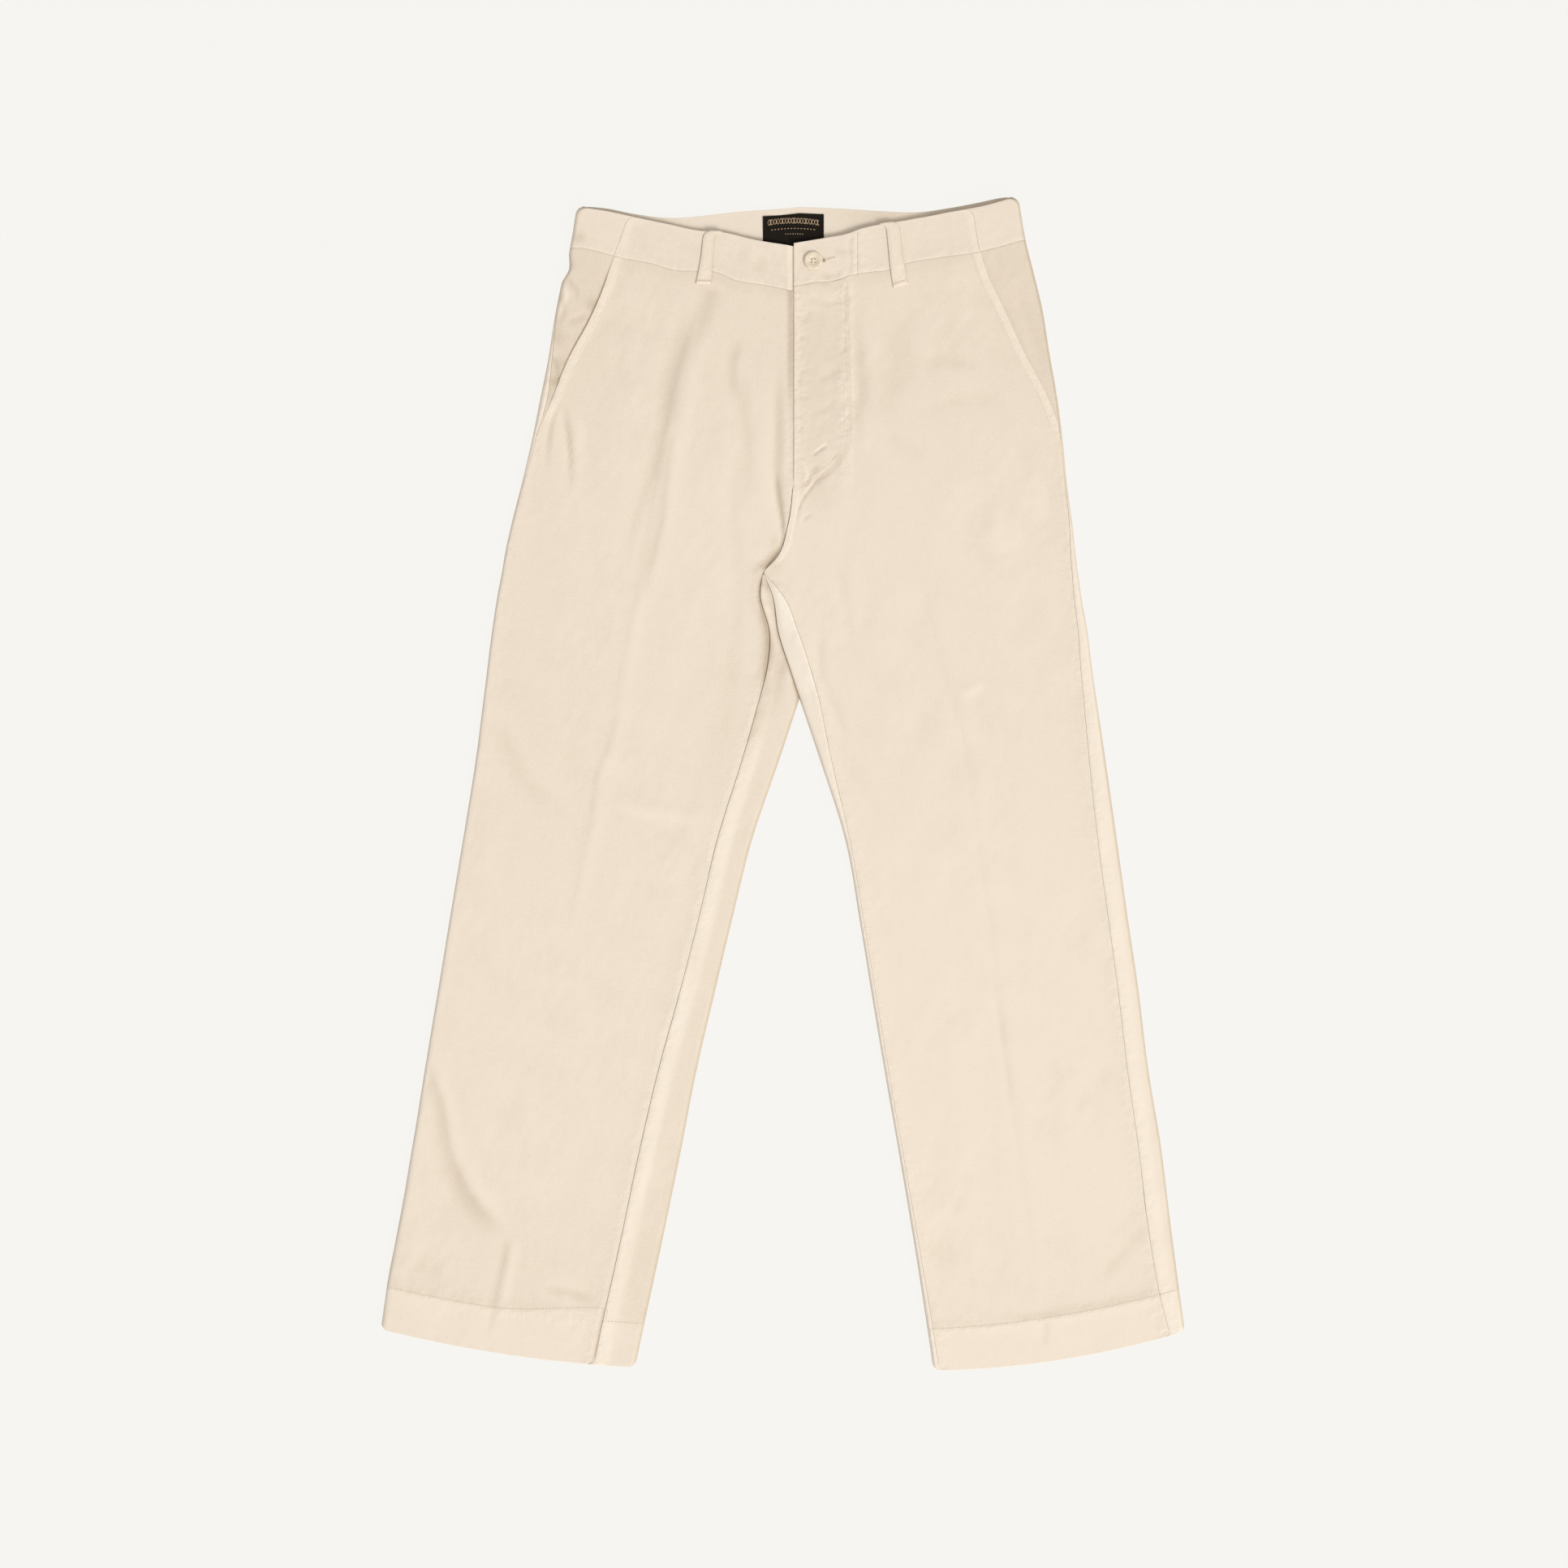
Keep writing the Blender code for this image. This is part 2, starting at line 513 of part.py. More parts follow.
def waist_button():
    """Turned four-hole button on the tab."""
    leg = LEGS["left"]
    width = leg.width(leg.section(0.5))
    surface = leg.point(0.5, width - 18.0, False, -BAND_PROUD).z + GAP
    outline = [(0.0, 0.0), (BUTTON_RADIUS - 1.2, 0.0), (BUTTON_RADIUS - 0.2, 0.7),
               (BUTTON_RADIUS, 1.5), (BUTTON_RADIUS - 0.5, 2.3), (BUTTON_RADIUS - 1.7, BUTTON_HEIGHT),
               (BUTTON_WELL + 0.9, BUTTON_HEIGHT - 0.4), (BUTTON_WELL, BUTTON_HEIGHT - 0.9),
               (BUTTON_WELL - 0.8, BUTTON_HEIGHT - BUTTON_WELL_DEPTH - 0.4),
               (0.0, BUTTON_HEIGHT - BUTTON_WELL_DEPTH - 0.5)]
    bm = bmesh.new()
    verts = [bm.verts.new((radius, 0.0, height)) for radius, height in outline]
    edges = [bm.edges.new(pair) for pair in zip(verts, verts[1:])]
    bmesh.ops.spin(bm, geom=verts + edges, cent=(0.0, 0.0, 0.0), axis=(0.0, 0.0, 1.0),
                   angle=math.tau, steps=28, use_merge=True)
    bmesh.ops.remove_doubles(bm, verts=bm.verts[:], dist=0.01)
    bmesh.ops.recalc_face_normals(bm, faces=bm.faces[:])
    bmesh.ops.translate(bm, verts=bm.verts[:], vec=(BUTTON_X, BUTTON_Y, surface))
    button = finish("waist_button", bm, BUTTON_MATERIAL)

    bm = bmesh.new()
    for x_sign in (-1.0, 1.0):
        for y_sign in (-1.0, 1.0):
            made = bmesh.ops.create_cone(bm, cap_ends=True, segments=10, radius1=BUTTON_HOLE,
                                         radius2=BUTTON_HOLE, depth=3.0 * BUTTON_HEIGHT)
            place = (BUTTON_X + x_sign * BUTTON_HOLE_OFFSET,
                     BUTTON_Y + y_sign * BUTTON_HOLE_OFFSET, surface)
            bmesh.ops.translate(bm, verts=made["verts"], vec=place)
    cutter = finish("button_hole_cutter", bm, BUTTON_MATERIAL)
    cutter.hide_render = True
    cutter.display_type = "WIRE"
    cut = button.modifiers.new("thread holes", "BOOLEAN")
    cut.object = cutter
    cut.operation = "DIFFERENCE"
    return button


for leftover in list(bpy.data.objects):
    bpy.data.objects.remove(leftover, do_unlink=True)

TWILL_MATERIAL = make_material("twill", TWILL)
LABEL_MATERIAL = make_material("label_cloth", LABEL_CLOTH)
BUTTON_MATERIAL = make_material("button_resin", BUTTON_RESIN)

for leg_side in ("right", "left"):
    front_panel(leg_side)
    back_panel(leg_side)
    pocket_facing(leg_side)
waistband_front_right()
waistband_front_left()
waistband_tab()
waistband_back()
waist_label()
for belt in LOOPS:
    belt_loop(belt)
waist_button()
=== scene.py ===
import math

import bmesh
import bpy
import numpy as np
from mathutils import Matrix, Vector
from mathutils.bvhtree import BVHTree


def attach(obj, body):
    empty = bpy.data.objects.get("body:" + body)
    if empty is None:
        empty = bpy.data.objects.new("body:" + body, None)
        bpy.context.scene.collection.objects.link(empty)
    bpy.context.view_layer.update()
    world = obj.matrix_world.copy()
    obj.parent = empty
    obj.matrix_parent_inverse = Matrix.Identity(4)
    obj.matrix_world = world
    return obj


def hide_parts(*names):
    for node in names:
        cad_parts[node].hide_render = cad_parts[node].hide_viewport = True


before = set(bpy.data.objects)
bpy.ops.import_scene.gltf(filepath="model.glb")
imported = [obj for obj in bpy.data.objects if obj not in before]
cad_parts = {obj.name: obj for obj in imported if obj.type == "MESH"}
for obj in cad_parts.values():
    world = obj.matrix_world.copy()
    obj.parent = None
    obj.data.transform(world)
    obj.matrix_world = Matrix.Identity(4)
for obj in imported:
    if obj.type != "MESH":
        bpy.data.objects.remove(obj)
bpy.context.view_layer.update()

# Lengths are millimetres until a mesh is made. The legs are flattened tubes: each row of
# a table is a section across one leg, from its outer fold to its inner fold.
mm = 0.001
middleX = 1.0          # the tables' middle is moved by this much onto the frame's

cloth = {
    "wall": 0.45,      # one layer of twill
    "foldRadius": 4.0,
    "roll": 0.46,      # radius of an edge turned under
    "seamRoll": 0.35,  # radius of an edge that goes down into a seam
    "seamTurn": math.radians(33),
    "seamTail": 0.4,   # how far it goes down
    "mouthTail": 6.0,  # turning behind the pocket mouths and the fly edge
    "gap": 0.08,
}
halfGap = cloth["gap"] / 2
quarterFold = cloth["foldRadius"] * math.pi / 2
foldSlack = quarterFold - cloth["foldRadius"]

# the outer and the inner end of each section, how far it bows, then distances in from the
# ends: the front's edge, the back's edge and the inseam
columnNames = ("outerX", "outerY", "innerX", "innerY", "bow", "frontEdge", "backEdge", "inseam")
legTables = {
    "right": [
        (-191.3, 531, 8.4, 498.5, 0, 47.8, 47.8, 0),
        (-197.6, 494, 8.7, 457, 0, 41.2, -1, 0),
        (-204.2, 468, 8.7, 436, 0, 37.5, -0.3, 0),
        (-211.5, 433, 8.7, 405, 0, 29, 0.5, 0),
        (-217.5, 395, 8.7, 372, 0, 15.7, 3.5, 0),
        (-225.7, 354, 8.7, 338, 0, 9.1, 6.5, 0),
        (-232.9, 318, 8.7, 308, 0, 3, 3, 0),
        (-242.8, 276, 8, 276, 0, 1.2, 1.2, 0),
        (-251.9, 240, 3.5, 240, 0, 0.4, 0.4, 0),
        (-258.2, 211, -6.5, 210, 0, 0.1, 0.1, 0),
        (-260.6, 196, -19.5, 196, 0, 0, 0, 0),
        (-264.5, 176, -11, 176, 0, 0, 0, 10.9),
        (-270, 140, -5, 140, 0, 0, 0, 8.2),
        (-274.4, 105, 6, 105, 0, -0.1, -0.1, 21.8),
        (-277.5, 80, 14.3, 79, 0, -0.2, -0.2, 36.8),
        (-283.8, 30, -3.6, 25, 0, -0.4, -0.4, 34.1),
        (-294.8, -40, -29.2, -50, 0, -0.8, -0.8, 31.8),
        (-306.5, -110, -47.3, -122, 0, -1.3, -1.3, 30.8),
        (-318, -180, -64.4, -194, 0, -2.2, -2.2, 32),
        (-329.7, -250, -81.6, -268, -1, -3.6, -3.6, 35),
        (-341, -320, -96, -342, -2, -6.5, -6.5, 37.9),
        (-354.8, -400, -113, -424, -3.5, -9, -9, 38.2),
        (-367, -464, -129, -498, -5, -12, -12, 38.6),
        (-372.5, -504, -137.5, -538, -5.5, -14, -14, 38.5),
    ],
    "left": [
        (216.5, 541, 9, 500.5, 0, 43.2, 43.2, 0),
        (223, 502, 9, 458.5, 0, 43, -2, 0),
        (230.2, 474, 9, 436.5, 0, 40.5, -2, 0),
        (238.5, 440, 9, 405.5, 0, 32.7, -1, 0),
        (245, 400, 9, 372.5, 0, 21.6, 0.5, 0),
        (252.4, 358, 9, 338.5, 0, 8.7, 1, 0),
        (257.3, 320, 9, 308, 0, 1.5, 1.5, 0),
        (261.4, 278, 8.3, 276, 0, 1.5, 1.5, 0),
        (266.5, 240, 3.8, 240, 0, 3, 3, 0),
        (269.6, 211, -6.2, 210, 0, 5, 5, 0),
        (271.5, 196, -19.5, 196, 0, 5.7, 5.7, 0),
        (274.3, 176, -11, 176, 0, 7, 7, 8.8),
        (280.5, 140, -5, 140, 0, 9, 9, 18.4),
        (284.8, 105, 6, 105, 0, 10.8, 10.8, 18.9),
        (288.5, 80, 14.3, 79, 0, 12.2, 12.2, 18.1),
        (296.2, 28, 33.5, 22, 0, 15, 15, 10.3),
        (306.7, -45, 57, -53, 0, 17.8, 17.8, 4),
        (316.7, -117, 70.1, -127, 0, 18.3, 18.3, 3.5),
        (327.5, -190, 82.2, -201, 0, 19.1, 19.1, 3.5),
        (336.4, -262, 94.7, -275, -1.5, 19.5, 19.5, 3.5),
        (348.3, -335, 107.6, -349, -3, 21, 21, 3.5),
        (357, -405, 121.2, -430, -5, 21, 21, 4),
        (365, -466, 132.5, -503, -7, 18.5, 18.5, 5),
        (370.5, -506, 138, -541, -8, 14, 14, 5),
    ],
}
waistSeam, flyEnd, crotch, legTop, hemTop, lastRow = 1, 7, 10, 14, 22, 23
corners = (0, crotch, legTop, lastRow)
# the seat seam's height and bow down to the crotch, how high each row lies, and how far
# the leg's inner fold is closed there
seatRows = [(533, -8), (495, -8), (464, -6), (427, -4), (388, -2), (351, 0), (317, 0), (280, 0), (242, 0),
            (211, 0)]
liftRows = [2.5, 2.5, 1.4, 0.3] + [0.0] * 20
closedRows = [0.0] * 11 + [0.1, 0.3, 0.6] + [1.0] * 10
seatX = 14.3           # the seat seam runs straight down the back
cornerRadius = 6.5     # rounded corners of the waist and hems
pocketFoot = {"right": 5.45, "left": 5.8}
mouthBow = {"right": 3.2, "left": 1.5, "rows": 4.6}   # the pocket mouths bow in, over these rows
pinch = {"depth": 3.8, "top": 492.0, "deepest": 475.0, "foot": 462.0}   # in the right outer edge
waistRise = 2.4        # the middle of the waist's back lies this much higher than its ends

# how far the waist's top edge and its seam stray from the tables' straight lines: (x, up)
waistCurves = {
    "right": {
        "top": [(-200, 0.6), (-181, 1.0), (-164, 1.3), (-144, 0.4), (-107, -1.0), (-78, -2.2),
                (-57, -0.1), (-27, -2.0), (9, -1.8)],
        "seam": [(-198, 1.0), (-187, 2.8), (-172, 2.2), (-150, 0.4), (-121, 0.0), (-100, -2.1),
                 (-81, 0.5), (-62, 2.8), (-45, -1.6), (-21, -1.1), (9, -1.6)],
        "back": [(-200, 1.1), (-181, 3.4), (-164, 4.0), (-140, 1.4), (-105, -1.1), (-71, 1.3),
                 (-42, 2.9), (-21, 2.4), (-4, 1.3), (14, 0.4)],
    },
    "left": {
        "top": [(9, -1.2), (36, -2.1), (58, -2.4), (72, -0.2), (92, 0.0), (110, -0.9), (123, -1.1),
                (137, -1.5), (151, -1.4), (165, -1.9), (180, -2.2), (192, -1.7), (203, -0.8), (212, 0.0)],
        "seam": [(9, 1.2), (29, 1.0), (48, -1.5), (62, 0.5), (82, -0.4), (97, -1.6), (113, 1.1),
                 (140, 0.6), (178, -1.8), (221, 0.6)],
        "back": [(14, 0.4), (35, 1.8), (53, 2.2), (85, 1.2), (126, -1.2), (151, 0.3), (183, 2.2),
                 (200, 2.9), (220, 0.0)],
    },
}


def mix(a, b, share):
    return a + (b - a) * share


def smoothStep(low, high, value):
    share = np.clip((value - low) / (high - low), 0.0, 1.0)
    return share * share * (3.0 - 2.0 * share)


def bell(value, centre, width):
    # one at the centre, fading to nothing on both sides
    return np.exp(-((value - centre) / width)**2)


def wayAlong(points):
    return np.concatenate([[0.0], np.cumsum(np.hypot(*np.diff(points, axis=0).T))])


def between(points, slope, low, t, step):
    # a smooth curve's place, a share t of the way from point low to the next
    return (points[low] * (2 * t**3 - 3 * t**2 + 1) + points[low + 1] * (3 * t**2 - 2 * t**3)
            + slope[low] * step * (t**3 - 2 * t**2 + t) + slope[low + 1] * step * (t**3 - t**2))


def smoothLine(points, count=28):
    points = np.array(points, float)
    way = wayAlong(points)
    places = np.linspace(0.0, way[-1], count)
    if len(points) < 3:
        return np.stack([np.interp(places, way, column) for column in points.T], axis=1)
    low = np.clip(np.searchsorted(way, places) - 1, 0, len(points) - 2)
    step = way[low + 1] - way[low]
    t = (places - way[low]) / step
    return between(points, np.gradient(points, way, axis=0), low, t[:, None], step[:, None])


def throughRows(values, down, rows):
    # a smooth curve through a table's column, with a corner at each row in corners
    result = np.empty(len(rows))
    for first, last in zip(corners, corners[1:]):
        part, way = values[first:last + 1], down[first:last + 1]
        inside = (rows >= first) & (rows <= last)
        low = np.clip(np.floor(rows[inside]).astype(int) - first, 0, last - first - 1)
        result[inside] = between(part, np.gradient(part, way), low, rows[inside] - first - low,
                                 way[low + 1] - way[low])
    return result


def cornerCut(distance):
    # how far a rounded corner cuts in, at a distance from the edge it meets
    reach = np.clip(cornerRadius - np.abs(distance), 0.0, cornerRadius)
    return cornerRadius - np.sqrt(cornerRadius**2 - reach**2)


def sectionsAt(side, rows):
    # the sections of one leg at any rows, as a dictionary of columns
    rows = np.clip(np.asarray(rows, float), 0.0, lastRow)
    columns = dict(zip(columnNames, np.array(legTables[side], float).T))
    seatY, seatBow = np.array(seatRows, float).T
    columns["seatY"] = np.concatenate([seatY, columns["innerY"][crotch:]])
    columns["seatBow"] = np.concatenate([seatBow, columns["bow"][crotch:]])
    section = {name: throughRows(values, -columns["outerY"], rows) for name, values in columns.items()}
    for name, values in (("lift", liftRows), ("closed", closedRows)):
        section[name] = np.interp(rows, np.arange(lastRow + 1), values)
    outward = -1.0 if side == "right" else 1.0
    first, last = legTables[side][0], legTables[side][-1]
    corner = cornerCut(section["outerY"] - first[1]) + cornerCut(section["outerY"] - last[1])
    section["outerX"] -= outward * corner
    section["innerX"] += outward * cornerCut(section["innerY"] - last[3])
    downMouth = np.clip((rows - waistSeam) / mouthBow["rows"], 0.0, 1.0)
    section["frontEdge"] += mouthBow[side] * np.sin(math.pi * downMouth)
    section["pinched"] = (side == "right") * pinch["depth"] * (
        smoothStep(pinch["top"], pinch["deepest"], section["outerY"])
        * smoothStep(pinch["foot"], pinch["deepest"], section["outerY"]))
    section["outerX"] += section["pinched"]
    section["frontEdge"] -= section["pinched"]
    section["row"] = rows
    section = {name: values[:, None] for name, values in section.items()}
    section["side"] = side
    return section


def waistShift(section, x, under):
    # how far the cloth near the waist is moved up from the straight sections
    lines = [smoothLine(points, 60) for points in waistCurves[section["side"]].values()]
    top, seam, back = (np.interp(x, *line.T) for line in lines)
    row = section["row"]
    front = mix(top, seam, np.clip(row, 0.0, 1.0))
    return np.where(under, back * smoothStep(2.0, 0.0, row), front) * smoothStep(2.6, waistSeam, row)


def onFold(arc):
    # distance in from a fold's edge, for a distance along the cloth round it
    radius = cloth["foldRadius"]
    size = np.abs(arc)
    turn = np.minimum(size / radius, math.pi / 2)
    return np.where(size < quarterFold, radius * (1.0 - np.cos(turn)), size - foldSlack)


def arcOf(distance):
    # the inverse: distance along the cloth, with the same sign
    radius = cloth["foldRadius"]
    size = np.abs(distance)
    arc = np.where(size < radius, radius * np.arccos(np.clip(1.0 - size / radius, -1.0, 1.0)),
                   size + foldSlack)
    return np.copysign(arc, distance)


def lineOf(section, under):
    # where a section's line ends, its length, and how far its inner fold is closed
    parted = under & (section["closed"] < 1.0)
    innerX = np.where(parted, seatX, section["innerX"])
    innerY = np.where(under, section["seatY"], section["innerY"])
    width = np.hypot(innerX - section["outerX"], innerY - section["outerY"])
    return innerX, innerY, width, np.where(parted, 0.0, section["closed"])


def widthOf(section, under=False):
    return lineOf(section, under)[2]


def clothLength(section, under=False):
    # cloth from the outer fold's edge to the inner end
    innerX, innerY, width, shut = lineOf(section, under)
    return width + foldSlack * (1.0 + shut)


def topPlace(section, arc):
    # distance along the section's straight line, for cloth measured from the outer fold
    innerX, innerY, width, shut = lineOf(section, False)
    back = clothLength(section) - arc
    return np.where(arc < back, onFold(arc), width - mix(back, onFold(back), shut))


def underPlace(section, arc):
    # the same for cloth measured from the inner end, underneath and on round the outer fold
    innerX, innerY, width, shut = lineOf(section, True)
    left = clothLength(section, True) - arc
    return np.where(arc < left, width - mix(arc, onFold(arc), shut), onFold(left)), left > 0.0


def legPoints(section, along, under=False, depth=0.0, beyond=0.0):
    # places on a leg, "depth" into the cloth and "beyond" the row towards the hem
    radius = cloth["foldRadius"]
    innerX, innerY, width, shut = lineOf(section, under)
    acrossX = (innerX - section["outerX"]) / width
    acrossY = (innerY - section["outerY"]) / width
    nearOuter = radius - np.clip(along, 0.0, radius)
    nearInner = radius - np.clip(width - along, 0.0, radius)
    rise = np.sqrt(radius**2 - nearOuter**2)
    rise = np.where(nearInner > 0.0, mix(rise, np.sqrt(radius**2 - nearInner**2), shut), rise)
    outward = -nearOuter + nearInner * shut
    sign = np.where(under, -1.0, 1.0)
    size = np.hypot(outward, rise)
    normalX, normalZ = outward / size, sign * rise / size
    share = np.clip(along / width, 0.0, 1.0)
    bow = np.where(under, section["seatBow"], section["bow"]) * 4.0 * share * (1.0 - share)
    inward = along - normalX * depth
    x = section["outerX"] + acrossX * inward + beyond * acrossY * np.sign(innerX - section["outerX"])
    y = section["outerY"] + acrossY * inward + bow - beyond * np.abs(acrossX)
    y = y + waistShift(section, x, under)
    raised = waistRise * smoothStep(1.8, 0.2, section["row"]) * smoothStep(185.0, 110.0, np.abs(x))
    z = radius + sign * rise - normalZ * depth + section["lift"] + under * raised
    return x, y, z, normalZ


def topLine(section, along, beyond=0.0):
    # the places in the tables' plane of one line along the top, for stitches
    x, y, z, facing = legPoints(section, along, beyond=beyond)
    return np.stack([x[:, 0], y[:, 0]], axis=1)


def rolledEdge(turn, tail, radius=cloth["roll"], steps=6):
    # an edge that turns down by "turn" on the roll's radius and runs on for "tail":
    # pairs of (distance out, depth), and how far out the whole edge reaches
    weight = np.clip(turn / (math.pi / 2), 0.0, 1.0)
    pairs = []
    for share in np.arange(1, steps + 1) / steps:
        out = mix(radius * math.pi / 2 * share, radius * np.sin(turn * share), weight)
        pairs.append((out, radius * (1.0 - np.cos(turn * share))))
    out, deep = pairs[-1]
    for share in (0.5, 1.0):
        pairs.append((out + tail * share * np.cos(turn), deep + tail * share * np.sin(turn)))
    return pairs, np.maximum.reduce([out + 0.0 * turn for out, deep in pairs])


def seamEdge(turned=1.0, tail=cloth["seamTail"], steps=6):
    # an edge that goes down into a seam
    return rolledEdge(cloth["seamTurn"] * turned, tail, cloth["seamRoll"], steps)


def spreadColumns(start, end, count, focus=()):
    # columns from start to end in each row, closer together near the places in focus
    share = np.linspace(0.0, 1.0, 301)[None, :]
    place = start + (end - start) * share
    density = np.ones_like(place)
    for centre, reach, gain in focus:
        density += gain * bell(place, centre, reach)
    total = np.concatenate([np.zeros_like(density[:, :1]),
                            np.cumsum((density[:, 1:] + density[:, :-1]) / 2, axis=1)], axis=1)
    total /= total[:, -1:]
    wanted = np.linspace(0.0, 1.0, count)
    return np.array([np.interp(wanted, totals, places) for totals, places in zip(total, place)])


def panelColumns(start, end, count, focus, first, last=((), 0.0), squeeze=1.0):
    # columns across a panel from start to end, with a rolled edge at each: (arc, depth)
    way = 1.0 if np.mean(end - start) > 0.0 else -1.0
    (firstPairs, firstReach), (lastPairs, lastReach) = first, last
    inside = spreadColumns(start + way * firstReach * squeeze, end - way * lastReach, count, focus)
    arcs = ([inside[:, :1] - way * out * squeeze for out, deep in reversed(firstPairs)] + [inside]
            + [inside[:, -1:] + way * out for out, deep in lastPairs])
    deeps = ([deep + 0.0 * start for out, deep in reversed(firstPairs)] + [0.0 * inside]
             + [deep + 0.0 * start for out, deep in lastPairs])
    return np.concatenate(arcs, axis=1), np.concatenate(deeps, axis=1)


def spreadRows(side, first, last, count, focus):
    # rows from first to last, spaced by real length and closer together near the places in focus
    fine = np.linspace(first, last, 1200)
    way = -sectionsAt(side, fine)["outerY"][:, 0]
    density = np.ones_like(way)
    for centre, reach, gain in focus:
        density += gain * bell(way, np.interp(centre, fine, way), reach)
    total = np.concatenate([[0.0], np.cumsum(np.diff(way) * (density[1:] + density[:-1]) / 2)])
    return np.interp(np.linspace(0.0, total[-1], count), total, fine)


